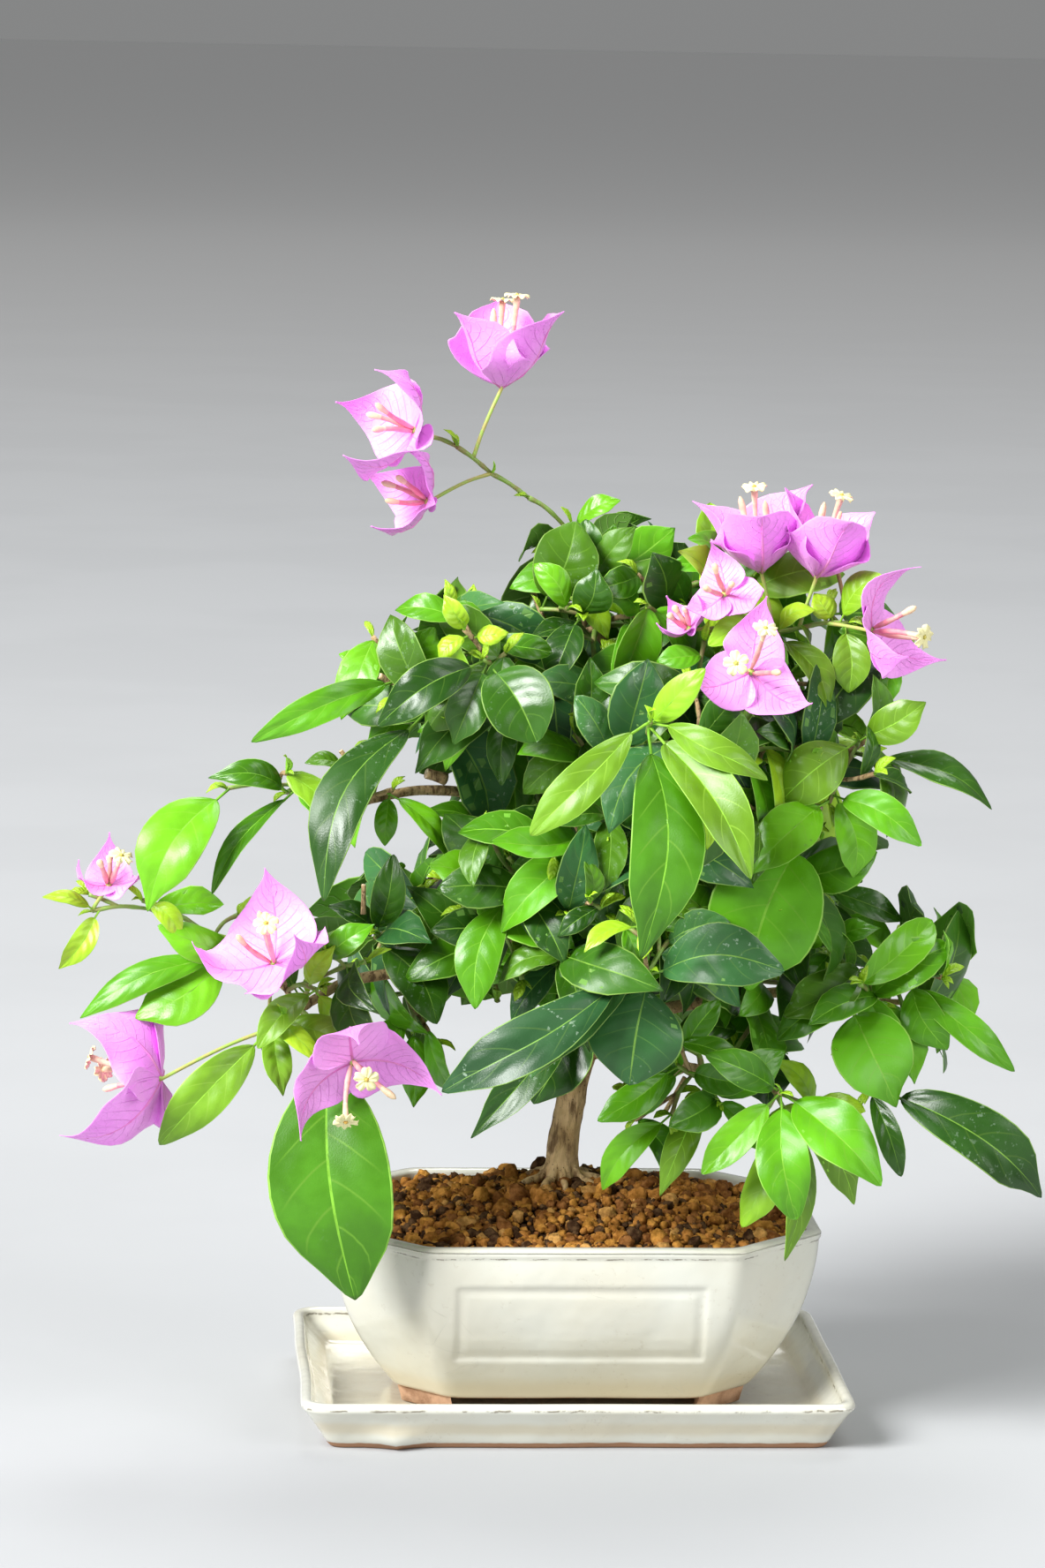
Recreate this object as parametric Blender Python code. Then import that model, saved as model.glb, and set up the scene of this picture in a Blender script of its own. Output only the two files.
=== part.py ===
"""Bougainvillea bonsai in a glazed eight-sided pot on its drip tray.

The plant stands on a table at Z = 0, with the tray's middle at the origin, +X to the
right and +Y to the back.  The trunk rises from the soil, each bough is one tapering limb,
and each mass of foliage is one body: a stem that meets its bough's tip, twigs that reach
out to named sprays, leaves round each spray, and bracts on their own stalks.
"""
import math
import random
from collections import namedtuple

import bmesh
import bpy
from mathutils import Vector, noise
from mathutils.bvhtree import BVHTree
from mathutils.geometry import delaunay_2d_cdt

MM = 0.001
CLEARANCE = 0.0003
WELD = 0.00001

# Drip tray
TRAY_LENGTH = 0.202
TRAY_DEPTH = 0.150
TRAY_HEIGHT = 0.0185
TRAY_SLOPE = 0.010
TRAY_FLOOR = 0.0065
TRAY_RIM = 0.0045
TRAY_CORNER = 0.011
TRAY_CORNER_STEPS = 5

# Pot
POT_LENGTH = 0.180
POT_DEPTH = 0.138
POT_TOP = 0.075
POT_BASE = 0.0125
POT_BASE_LENGTH = 0.131
POT_BASE_DEPTH = 0.088
POT_BELLY = 2.1
POT_WALL = 0.005
POT_LEVELS = (0.0, 0.07, 0.18, 0.35, 0.65)
POT_INNER_LEVELS = (0.18, 0.35, 0.65)
POT_CORNER_CUT = 0.033
POT_BASE_CUT = 0.019
POT_CORNER_SOFT = 0.008
FOOT_REACH = 0.009
FOOT_WIDTH = 0.010
FOOT_SINK = 0.002
DRAIN_RADIUS = 0.006
DRAIN_OFFSET = 0.035

# Soil
SOIL_EDGE = 0.0705
SOIL_PEAK = 0.0820
SOIL_STAND = 0.011
SOIL_LEVELS = (0.14, 0.28, 0.42, 0.56, 0.70, 0.85, 1.0)
SOIL_SPACING = 0.0105
SOIL_LUMP = 0.0030
SOIL_LUMP_SIZE = 0.013

# Trunk: points in mm up its axis, with its radius at each
TRUNK_FOOT = (-3, 8)
TRUNK = (
    ((-3, 8, 82.4), 7.6), ((-3, 8, 88), 6.4), ((-2, 8, 99), 5.9), ((0, 8, 112), 5.7),
    ((1, 7, 122), 5.8), ((4, 6, 133), 5.8), ((7, 4, 145), 4.9), ((7, 2, 173), 4.5),
    ((3, 2, 204), 4.1), ((7, 4, 228), 3.7), ((11, 5, 246), 3.2),
)
TRUNK_STEPS = 2
TRUNK_SIDES_RESOLUTION = 2

# Boughs: root and tip radius in mm, then points in mm from inside the trunk to the tip
BOUGHS = {
    "low_left": (2.7, 1.8, ((7, 2, 164), (-20, -8, 165), (-50, -18, 168), (-83, -30, 166), (-99, -37, 159))),
    "arm_left": (2.6, 1.6, ((3, 2, 202), (-17, -10, 222), (-37, -22, 233), (-60, -30, 236), (-78, -34, 233))),
    "high_left": (2.6, 1.8, ((8, 4, 233), (-9, -10, 260), (-24, -24, 270), (-40, -34, 272))),
    "crown_left": (2.0, 1.5, ((11, 5, 242), (8, 8, 268), (2, 6, 295), (-1, 2, 312))),
    "crown": (2.2, 1.6, ((11, 5, 240), (15, -8, 262), (12, -16, 280), (6, -20, 291))),
    "high_right": (2.6, 1.8, ((10, 5, 240), (26, -6, 259), (40, -16, 271), (56, -24, 284))),
    "right": (2.6, 1.8, ((9, 4, 232), (36, -10, 246), (58, -22, 254), (76, -30, 253))),
    "mid_right": (2.3, 1.7, ((4, 2, 194), (30, -12, 206), (55, -26, 215))),
    "low_right": (2.8, 1.8, ((7, 5, 141), (36, -2, 151), (68, -10, 158), (92, -16, 161))),
    "hanging_right": (2.2, 1.7, ((6, 6, 133), (17, -14, 137), (30, -34, 138), (40, -44, 137))),
    "inner_left": (2.1, 1.5, ((6, 2, 178), (-20, 8, 185), (-44, 10, 182), (-60, 6, 178))),
    "middle_left": (2.0, 1.6, ((4, 2, 198), (-2, -22, 206), (-8, -42, 212))),
    "middle": (2.3, 1.6, ((7, 4, 226), (12, -28, 238), (16, -58, 250))),
    "front_low": (2.2, 1.7, ((7, 3, 154), (13, -24, 160), (18, -52, 168))),
    "back_low": (2.3, 1.7, ((6, 4, 150), (16, 30, 150), (24, 58, 144))),
    "back_left": (2.3, 1.7, ((5, 2, 186), (-22, 30, 192), (-44, 54, 190))),
    "back_middle": (2.1, 1.6, ((4, 2, 206), (6, 32, 214), (8, 58, 216))),
    "back_right": (2.3, 1.7, ((5, 2, 182), (38, 28, 192), (66, 50, 196))),
    "back_high": (2.2, 1.6, ((10, 4, 236), (20, 30, 252), (24, 54, 260))),
    "back_high_left": (2.1, 1.6, ((7, 3, 222), (-12, 28, 236), (-32, 48, 244))),
}
BOUGH_STEPS = 2
BOUGH_SIDES_RESOLUTION = 1

# Masses: middle and reach of each one's own space in mm, and how many seeded sprays fill it
MASSES = {
    "low_left": ((-98, -40, 168), (48, 40, 30), 2),
    "arm_left": ((-84, -36, 226), (36, 30, 24), 0),
    "high_left": ((-44, -40, 276), (40, 40, 32), 2),
    "crown_left": ((-25, -4, 345), (50, 40, 55), 0),
    "crown": ((14, -20, 300), (42, 36, 28), 3),
    "high_right": ((70, -34, 294), (44, 40, 34), 3),
    "right": ((84, -40, 250), (38, 44, 34), 3),
    "mid_right": ((70, -34, 208), (40, 44, 36), 3),
    "low_right": ((104, -20, 164), (46, 48, 34), 3),
    "hanging_right": ((58, -46, 134), (38, 40, 30), 2),
    "inner_left": ((-62, 6, 174), (38, 46, 32), 3),
    "middle_left": ((-18, -50, 212), (38, 40, 36), 2),
    "middle": ((24, -66, 246), (42, 42, 40), 2),
    "front_low": ((12, -62, 180), (40, 40, 30), 1),
    "back_low": ((34, 72, 152), (44, 44, 28), 5),
    "back_left": ((-58, 66, 168), (44, 46, 30), 5),
    "back_middle": ((6, 82, 212), (44, 40, 36), 5),
    "back_right": ((82, 60, 190), (38, 48, 40), 6),
    "back_high": ((40, 56, 276), (46, 46, 34), 6),
    "back_high_left": ((-38, 50, 260), (42, 48, 30), 5),
}

# Aimed sprays: mass, tone, node in mm, then its leaves as (bearing, length, width).
# A bearing is a clock angle as seen from the front: 0 is up and 90 is to the right.
SPRAYS = (
    ("crown_left", "mid", (-5, -5, 330), ((55, 20, 9),)),
    ("crown_left", "mid", (-21, -8, 341), ()),
    ("crown_left", "mid", (-35, -12, 350), ()),
    ("crown_left", "mid", (-48, -17, 360), ()),
    ("crown_left", "mid", (-59, -22, 364), ()),
    ("crown", "dark", (-17, -24, 302), ((20, 34, 25),)),
    ("crown", "dark", (1, -16, 312), ((355, 22, 14), (35, 25, 13), (75, 38, 14))),
    ("crown", "dark", (-4, -38, 300), ((15, 18, 15), (205, 24, 16))),
    ("crown", "mid", (20, -34, 300), ((310, 20, 13), (95, 28, 14), (205, 26, 14))),
    ("high_left", "dark", (-40, -62, 288), ((240, 42, 18), (200, 30, 17), (145, 32, 27), (295, 28, 14))),
    ("high_left", "lime", (-47, -66, 299), ((330, 14, 9), (220, 14, 8), (90, 15, 8))),
    ("high_left", "mid", (-68, -45, 279), ((250, 56, 13), (30, 22, 15))),
    ("high_left", "dark", (-60, -56, 268), ((212, 70, 20), (235, 20, 9))),
    ("high_left", "dark", (-25, -46, 272), ((195, 28, 12), (240, 44, 18))),
    ("arm_left", "mid", (-130, -50, 239), ((220, 45, 27), (75, 24, 12))),
    ("arm_left", "mid", (-109, -46, 237), ((290, 26, 12), (110, 20, 16), (222, 40, 9))),
    ("arm_left", "dark", (-87, -40, 246), ((280, 15, 8), (60, 18, 9))),
    ("arm_left", "mid", (-70, -36, 237), ((190, 20, 9), (140, 34, 11))),
    ("low_left", "mid", (-128, -50, 179), ((240, 58, 12), (228, 46, 22), (300, 27, 14))),
    ("low_left", "lime", (-178, -55, 195), ((295, 18, 7), (210, 22, 10))),
    ("low_left", "lime", (-160, -55, 199), ((130, 18, 9),)),
    ("low_left", "lime", (-114, -58, 153), ((225, 54, 19), (165, 20, 12), (100, 32, 14))),
    ("low_left", "mid", (-93, -44, 150), ((174, 86, 45),)),
    ("low_left", "lime", (-97, -56, 167), ((235, 28, 13), (130, 26, 13), (15, 16, 9))),
    ("low_left", "dark", (-110, -40, 170), ((250, 24, 15), (320, 26, 12))),
    ("inner_left", "dark", (-75, -26, 181), ((260, 24, 12), (140, 34, 20), (10, 30, 13), (300, 22, 12))),
    ("inner_left", "mid", (-58, 10, 142), ((182, 30, 12), (250, 28, 14))),
    ("middle_left", "mid", (-32, -62, 203), ((300, 28, 17), (195, 38, 17))),
    ("middle_left", "mid", (1, -70, 224), ((230, 45, 19), (275, 38, 15))),
    ("middle_left", "blue", (3, -66, 199), ((265, 32, 22),)),
    ("middle", "lime", (17, -98, 271), ((230, 56, 17), (110, 42, 14), (145, 57, 21), (182, 73, 27), (45, 28, 12))),
    ("front_low", "blue", (19, -92, 180), ((244, 82, 23), (236, 55, 20), (190, 38, 35), (82, 44, 25))),
    ("front_low", "lime", (15, -92, 198), ((250, 21, 8), (165, 13, 8), (320, 12, 7))),
    ("front_low", "dark", (-2, -48, 160), ((208, 36, 25), (225, 58, 16))),
    ("high_right", "lime", (66, -55, 297), ((215, 45, 14), (50, 16, 10), (275, 24, 12), (140, 30, 13))),
    ("high_right", "lime", (92, -50, 301), ((180, 24, 15), (35, 20, 14), (310, 18, 12))),
    ("high_right", "mid", (50, -35, 320), ((310, 18, 10), (270, 21, 8))),
    ("high_right", "dark", (34, -27, 303), ((340, 20, 12), (235, 28, 12))),
    ("right", "lime", (95, -62, 260), ((235, 34, 21), (55, 27, 15))),
    ("right", "dark", (100, -50, 253), ((105, 46, 17), (130, 22, 13))),
    ("right", "mid", (85, -65, 238), ((235, 36, 21), (110, 32, 14), (160, 28, 17))),
    ("mid_right", "mid", (77, -62, 228), ((200, 60, 41),)),
    ("mid_right", "dark", (39, -55, 215), ((175, 32, 20), (85, 22, 14))),
    ("mid_right", "dark", (89, -24, 198), ((145, 32, 14), (105, 30, 12))),
    ("low_right", "dark", (104, -45, 175), ((245, 36, 19), (85, 22, 12))),
    ("low_right", "mid", (119, -40, 169), ((150, 26, 16), (75, 20, 12), (130, 50, 13))),
    ("low_right", "mid", (94, -50, 161), ((150, 36, 31), (250, 26, 17))),
    ("low_right", "dark", (104, -55, 131), ((118, 71, 25), (160, 30, 10))),
    ("low_right", "lime", (90, -66, 146), ((295, 15, 6), (110, 12, 6))),
    ("hanging_right", "mid", (33, -60, 141), ((240, 34, 13), (220, 24, 12), (100, 26, 12))),
    ("hanging_right", "mid", (31, -66, 124), ((225, 36, 13),)),
    ("hanging_right", "lime", (43, -56, 130), ((208, 34, 12),)),
    ("hanging_right", "mid", (69, -75, 134), ((225, 40, 14), (175, 38, 20), (125, 40, 25), (300, 32, 14))),
    ("hanging_right", "lime", (74, -60, 122), ((205, 42, 15), (180, 44, 12), (145, 40, 14))),
    ("hanging_right", "dark", (62, -38, 151), ((165, 28, 20), (270, 28, 14))),
)

# Blossoms: mass, foot of the stalk and base of the bracts in mm, then the way the mouth
# looks (bearing and lean to the front), turn of the bracts, half angle of opening, length
BLOSSOMS = (
    ("crown_left", (-37, -12, 358), (-32, -14, 381), 0, 4, 0, 34, 37),
    ("crown_left", (-56, -20, 363), (-63, -24, 366), 288, 20, 60, 36, 34),
    ("crown_left", (-38, -12, 346), (-58, -20, 340), 292, 20, 60, 38, 33),
    ("high_right", (56, -45, 302), (61, -45, 318), 352, 4, 0, 33, 36),
    ("high_right", (79, -48, 299), (80, -50, 317), 12, 4, 10, 30, 34),
    ("high_right", (52, -54, 302), (46, -64, 312), 330, 48, 20, 58, 22),
    ("high_right", (45, -50, 296), (34, -60, 299), 325, 15, 60, 38, 17),
    ("high_right", (66, -60, 296), (53, -86, 287), 15, 62, 20, 66, 33),
    ("high_right", (80, -52, 297), (98, -64, 300), 80, 30, 40, 48, 35),
    ("low_left", (-178, -55, 196), (-172, -57, 204), 0, 20, 60, 42, 20),
    ("low_left", (-115, -58, 153), (-113, -72, 179), 335, 30, 30, 38, 38),
    ("low_left", (-120, -58, 150), (-152, -64, 136), 270, 6, 30, 38, 42),
    ("low_left", (-108, -58, 153), (-85, -80, 146), 150, 56, 20, 60, 37),
)

# How twigs and leaves grow
SEED = 27
STEM_LENGTH = 0.009
TWIG_STEPS = 3
SHORT_TWIG = 0.020
TWIG_TIP = 0.0009
TWIG_THIN = 0.8
STALK_STEPS = 3
TWIG_ARCH = 0.10
TWIG_TRIES = 9
STALK_RADIUS = 0.0007
STALK_TRIES = 5
LEAF_STEP = 0.0022
LEAF_OUT = 24
LEAF_TRIES = 16
LEAF_ARCH = 0.10
PETIOLE = 0.00045
LEAF_KEEL = 0.022
LEAF_KEEL_LEAST = 0.0006
LEAF_STATIONS = ((0.0, 0.0), (0.13, 0.0), (0.42, 1.0), (0.74, 0.62))
PLAIN_STATIONS = ((0.0, 0.0), (0.47, 1.0))
SEEDED_LEAVES = 4
SEEDED_LENGTH = (0.030, 0.047)
SEEDED_SLIMNESS = (0.42, 0.56)
SIDE_LEAF_EVERY = 0.024
SIDE_LEAF_LENGTH = (0.022, 0.036)
SIDE_LEAF_SLIMNESS = 0.5
SPACE_SPARE = 1.25
LOWEST_LEAF = 0.094
GOLDEN_ANGLE = 137.5
BRACT_WIDTH = 0.74
BRACT_CUP = -0.15
BRACT_STATIONS = ((0.0, 0.0), (0.34, 1.0), (0.68, 0.72))
RECEPTACLE_RADIUS = 0.0016
RECEPTACLE_LENGTH = 0.0016

TONES = {
    "dark": (0.035, 0.16, 0.04),
    "blue": (0.06, 0.20, 0.10),
    "mid": (0.09, 0.36, 0.03),
    "lime": (0.30, 0.62, 0.06),
}

Leaf = namedtuple("Leaf", "root tip normal width arch tone stations")
Blossom = namedtuple("Blossom", "stalk base axis bracts length")


def clear_scene():
    """Start from an empty scene."""
    for obj in list(bpy.data.objects):
        bpy.data.objects.remove(obj, do_unlink=True)


def make_collection(name):
    """A new collection in the scene."""
    collection = bpy.data.collections.new(name)
    bpy.context.scene.collection.children.link(collection)
    return collection


def finish(name, colour, roughness, coat=0.0):
    """A plain Principled material."""
    material = bpy.data.materials.new(name)
    material.use_nodes = True
    shader = material.node_tree.nodes["Principled BSDF"]
    shader.inputs["Base Color"].default_value = (*colour, 1.0)
    shader.inputs["Roughness"].default_value = roughness
    shader.inputs["Metallic"].default_value = 0.0
    shader.inputs["Coat Weight"].default_value = coat
    return material


def in_metres(point):
    """A point given in mm, as a vector in metres."""
    return Vector(point) * MM


def add_object(name, mesh, material, collection):
    """Put a mesh in the scene under a name, with its material."""
    obj = bpy.data.objects.new(name, mesh)
    if material is not None:
        mesh.materials.clear()
        mesh.materials.append(material)
    collection.objects.link(obj)
    return obj


def outward_mesh(name, verts, faces):
    """A mesh with its faces turned outwards."""
    mesh = bpy.data.meshes.new(name)
    mesh.from_pydata([tuple(vert) for vert in verts], [], faces)
    build = bmesh.new()
    build.from_mesh(mesh)
    bmesh.ops.recalc_face_normals(build, faces=build.faces)
    build.to_mesh(mesh)
    build.free()
    return mesh


def loft(rings, name):
    """A closed mesh through rings of points; a last ring of one point makes a tip."""
    return outward_mesh(name, *loft_lists(rings))


def loft_lists(rings):
    """The points and triangles of a loft, with a cap at each end that isn't a tip."""
    verts = [point for ring in rings for point in ring]
    faces = [tuple(reversed(range(len(rings[0]))))]
    start = 0
    for near, far in zip(rings, rings[1:]):
        count = len(near)
        after = start + count
        for side in range(count):
            turn = (side + 1) % count
            if len(far) == 1:
                faces.append((start + side, start + turn, after))
            else:
                faces.append((start + side, start + turn, after + turn))
                faces.append((start + side, after + turn, after + side))
        start = after
    if len(rings[-1]) > 1:
        faces.append(tuple(range(start, start + len(rings[-1]))))
    return verts, faces


def largest_body(mesh):
    """Drop the loose scraps of a mesh and keep its largest body."""
    build = bmesh.new()
    build.from_mesh(mesh)
    left = set(build.verts)
    bodies = []
    while left:
        edge_of_search = [left.pop()]
        body = set(edge_of_search)
        while edge_of_search:
            vert = edge_of_search.pop()
            for edge in vert.link_edges:
                other = edge.other_vert(vert)
                if other in left:
                    left.discard(other)
                    body.add(other)
                    edge_of_search.append(other)
        bodies.append(body)
    bodies.sort(key=len)
    scraps = [vert for body in bodies[:-1] for vert in body]
    bmesh.ops.delete(build, geom=scraps, context="VERTS")
    build.to_mesh(mesh)
    build.free()


def is_closed(mesh):
    """Whether each edge of a mesh lies between two faces."""
    build = bmesh.new()
    build.from_mesh(mesh)
    closed = all(edge.is_manifold for edge in build.edges)
    build.free()
    return closed


def join_or_cut(obj, collection, operation):
    """One Boolean between an object and all of a collection, applied."""
    modifier = obj.modifiers.new(operation.lower(), "BOOLEAN")
    modifier.operation = operation
    modifier.operand_type = "COLLECTION"
    modifier.collection = collection
    modifier.solver = "EXACT"
    result = evaluated_mesh(obj)
    if not is_closed(result):
        modifier.solver = "MANIFOLD"
        result = evaluated_mesh(obj)
    obj.modifiers.clear()
    obj.data = result
    for other in list(collection.objects):
        bpy.data.objects.remove(other, do_unlink=True)
    largest_body(result)


def evaluated_mesh(obj):
    """A new mesh of an object as its modifiers or its curve leave it."""
    depsgraph = bpy.context.evaluated_depsgraph_get()
    return bpy.data.meshes.new_from_object(obj.evaluated_get(depsgraph))


def smooth_path(points, steps):
    """Points on a smooth curve through the given ones, with some steps to a span."""
    ends = [points[0] * 2 - points[1], *points, points[-1] * 2 - points[-2]]
    path = []
    for first, start, end, last in zip(ends, ends[1:], ends[2:], ends[3:]):
        for step in range(steps):
            t = step / steps
            path.append(0.5 * (2 * start + (end - first) * t
                               + (2 * first - 5 * start + 4 * end - last) * t ** 2
                               + (3 * start - first - 3 * end + last) * t ** 3))
    path.append(points[-1])
    return path


def limb(name, points, radii, resolution, spare, collection):
    """A tapering limb: a curve with a round section and filled caps, made a mesh."""
    curve = bpy.data.curves.new(name, "CURVE")
    curve.dimensions = "3D"
    curve.bevel_depth = 1.0
    curve.bevel_resolution = resolution
    curve.use_fill_caps = True
    spline = curve.splines.new("POLY")
    spline.points.add(len(points) - 1)
    for knot, point, radius in zip(spline.points, points, radii):
        knot.co = (*point, 1.0)
        knot.radius = radius + spare
    guide = bpy.data.objects.new(name + "_guide", curve)
    collection.objects.link(guide)
    mesh = evaluated_mesh(guide)
    bpy.data.objects.remove(guide, do_unlink=True)
    build = bmesh.new()
    build.from_mesh(mesh)
    bmesh.ops.remove_doubles(build, verts=build.verts, dist=WELD)
    bmesh.ops.recalc_face_normals(build, faces=build.faces)
    build.to_mesh(mesh)
    build.free()
    return mesh


def soft_outline(corners, reach, steps, height):
    """A ring round some corners, each one rounded off over a reach along its sides."""
    ring = []
    for index, corner in enumerate(corners):
        before = (corners[index - 1] - corner).normalized() * reach
        after = (corners[(index + 1) % len(corners)] - corner).normalized() * reach
        for step in range(steps):
            t = step / (steps - 1)
            bend = corner + before * (1 - t) ** 2 + after * t ** 2
            ring.append(Vector((bend.x, bend.y, height)))
    return ring


def tray_ring(inset, height, corner):
    """One level of the tray: a rectangle with round corners."""
    half_length = TRAY_LENGTH / 2 - inset
    half_depth = TRAY_DEPTH / 2 - inset
    corners = [Vector((half_length * x, half_depth * y, 0))
               for x, y in ((1, 1), (-1, 1), (-1, -1), (1, -1))]
    return soft_outline(corners, corner, TRAY_CORNER_STEPS, height)


def make_tray(collection):
    """The drip tray: a shallow dish with sloping walls and a rounded rim."""
    edge = TRAY_RIM / 4
    levels = (
        (TRAY_SLOPE, 0.0), (TRAY_SLOPE * 0.85, TRAY_HEIGHT * 0.1), (TRAY_SLOPE * 0.3, TRAY_HEIGHT * 0.6),
        (0.0, TRAY_HEIGHT - 2 * edge), (edge, TRAY_HEIGHT), (TRAY_RIM - edge, TRAY_HEIGHT),
        (TRAY_RIM, TRAY_HEIGHT - 2 * edge), (TRAY_RIM * 1.4, TRAY_HEIGHT - 4 * edge),
        (TRAY_SLOPE + TRAY_RIM * 0.8, TRAY_FLOOR),
    )
    rings = [tray_ring(inset, height, TRAY_CORNER - inset / 2) for inset, height in levels]
    glaze = finish("tray_glaze", (0.78, 0.74, 0.62), 0.25, 0.6)
    return add_object("tray", loft(rings, "tray"), glaze, collection)


def pot_ring(height, inset):
    """One level of the pot: a rectangle with its corners cut off, bellied towards the rim."""
    level = min(max((height - POT_BASE) / (POT_TOP - POT_BASE), 0.0), 1.0)
    swell = 1 - (1 - level) ** POT_BELLY
    half_length = (POT_BASE_LENGTH + (POT_LENGTH - POT_BASE_LENGTH) * swell) / 2 - inset
    half_depth = (POT_BASE_DEPTH + (POT_DEPTH - POT_BASE_DEPTH) * swell) / 2 - inset
    cut = POT_BASE_CUT + (POT_CORNER_CUT - POT_BASE_CUT) * swell - inset * 0.6
    corners = []
    for x, y in ((1, 1), (-1, 1), (-1, -1), (1, -1)):
        on_end = Vector((half_length * x, (half_depth - cut) * y, 0))
        on_side = Vector(((half_length - cut) * x, half_depth * y, 0))
        corners += [on_end, on_side] if x * y > 0 else [on_side, on_end]
    return soft_outline(corners, min(POT_CORNER_SOFT, cut / 3), 3, height)


def foot_rings(x, y):
    """A foot under one cut corner of the pot, from the tray's floor into the body."""
    half_length = POT_BASE_LENGTH / 2
    half_depth = POT_BASE_DEPTH / 2
    far_x = half_length - FOOT_WIDTH
    far_y = half_depth - FOOT_WIDTH
    outline = (
        (half_length, far_y - FOOT_REACH), (half_length, half_depth - POT_BASE_CUT),
        (half_length - POT_BASE_CUT, half_depth), (far_x - FOOT_REACH, half_depth),
        (far_x - FOOT_REACH, far_y), (far_x, far_y - FOOT_REACH),
    )
    rings = []
    for height, shrink in ((TRAY_FLOOR + CLEARANCE, 0.955), (POT_BASE + FOOT_SINK, 0.985)):
        rings.append([Vector((px * x * shrink, py * y * shrink, height)) for px, py in outline])
    return rings


def make_pot(collection, helpers):
    """The pot: one shell from its underside over the rim to its inner floor, with feet and drains."""
    span = POT_TOP - POT_BASE
    lip = POT_WALL / 4
    rings = [pot_ring(POT_BASE + span * level, 0.0) for level in POT_LEVELS]
    rings.append(pot_ring(POT_TOP - lip, 0.0))
    rings.append(pot_ring(POT_TOP, lip))
    rings.append(pot_ring(POT_TOP, POT_WALL - lip))
    rings.append(pot_ring(POT_TOP - lip, POT_WALL))
    rings += [pot_ring(POT_BASE + span * level, POT_WALL) for level in reversed(POT_INNER_LEVELS)]
    rings.append(pot_ring(POT_BASE + POT_WALL, POT_WALL * 1.6))
    glaze = finish("pot_glaze", (0.82, 0.80, 0.70), 0.18, 0.8)
    pot = add_object("pot", loft(rings, "pot"), glaze, collection)
    for x, y in ((1, 1), (-1, 1), (-1, -1), (1, -1)):
        add_object("foot", loft(foot_rings(x, y), "foot"), None, helpers)
    join_or_cut(pot, helpers, "UNION")
    for side in (-1, 1):
        bpy.ops.mesh.primitive_cylinder_add(
            vertices=16, radius=DRAIN_RADIUS, depth=POT_BASE * 2,
            location=(DRAIN_OFFSET * side, 0, POT_BASE + POT_WALL / 2))
        drain = bpy.context.object
        for owner in list(drain.users_collection):
            owner.objects.unlink(drain)
        helpers.objects.link(drain)
    join_or_cut(pot, helpers, "DIFFERENCE")
    return pot


def soil_lump(x, y):
    """How far a coarse lump of the soil lifts a place."""
    return SOIL_LUMP * (0.5 + 0.9 * noise.noise(Vector((x, y, 0)) / SOIL_LUMP_SIZE))


def evenly_round(ring, spacing):
    """Places about a spacing apart round a closed ring."""
    sides = [(near, far - near) for near, far in zip(ring, ring[1:] + ring[:1])]
    step = sum(side.length for _, side in sides)
    step /= round(step / spacing)
    places = []
    walked = 0.0
    for near, side in sides:
        while len(places) * step < walked + side.length:
            places.append(near + side * (len(places) * step - walked) / side.length)
        walked += side.length
    return places


def soil_top(edge):
    """The points of the soil's top within its edge: lumps up the mound to a flat stand for the trunk."""
    middle = Vector((*TRUNK_FOOT, 0)) * MM
    points = []
    for level in SOIL_LEVELS:
        ring = []
        for point in edge:
            out = Vector((point.x, point.y, 0)) - middle
            ring.append(middle + out.lerp(out.normalized() * SOIL_STAND, level))
        height = SOIL_EDGE + (SOIL_PEAK - SOIL_EDGE) * math.sin(level * math.pi / 2) ** 2
        for x, y, _ in evenly_round(ring, SOIL_SPACING):
            lump = soil_lump(x, y) if level < 1 else 0
            points.append(Vector((x, y, height + lump)))
    return points


def make_soil(collection):
    """The filled soil: it follows the pot's inner wall, lies in lumps and is mounded up to the trunk."""
    inset = POT_WALL + CLEARANCE
    span = POT_TOP - POT_BASE
    floor = POT_BASE + POT_WALL + CLEARANCE
    rings = [pot_ring(floor, POT_WALL * 1.6 + CLEARANCE)]
    rings += [pot_ring(POT_BASE + span * level, inset) for level in POT_INNER_LEVELS]
    edge = pot_ring(SOIL_EDGE, inset + CLEARANCE)
    verts, faces = loft_lists(rings + [edge])
    faces.pop()
    start = len(verts) - len(edge)
    verts += soil_top(edge)
    flat = [Vector((x, y)) for x, y, _ in verts[start:]]
    around = list(range(len(edge)))
    _, _, joined, olds, _, _ = delaunay_2d_cdt(flat, [], [around], 1, 1e-7)
    faces += [[start + olds[corner][0] for corner in face] for face in joined]
    grains = finish("soil_grains", (0.28, 0.13, 0.04), 0.95)
    return add_object("soil", outward_mesh("soil", verts, faces), grains, collection)


def trunk_path():
    """The trunk's points and radii in metres, from its flat foot to its fork."""
    points = smooth_path([in_metres(point) for point, _ in TRUNK], TRUNK_STEPS)
    radii = smooth_path([Vector((radius * MM, 0)) for _, radius in TRUNK], TRUNK_STEPS)
    return points, [radius.x for radius in radii]


def bough_path(name):
    """A bough's points and radii in metres, from inside the trunk to its tip."""
    root, tip, points = BOUGHS[name]
    path = smooth_path([in_metres(point) for point in points], BOUGH_STEPS)
    last = len(path) - 1
    radii = [(root + (tip - root) * index / last) * MM for index in range(len(path))]
    return path, radii


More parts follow.
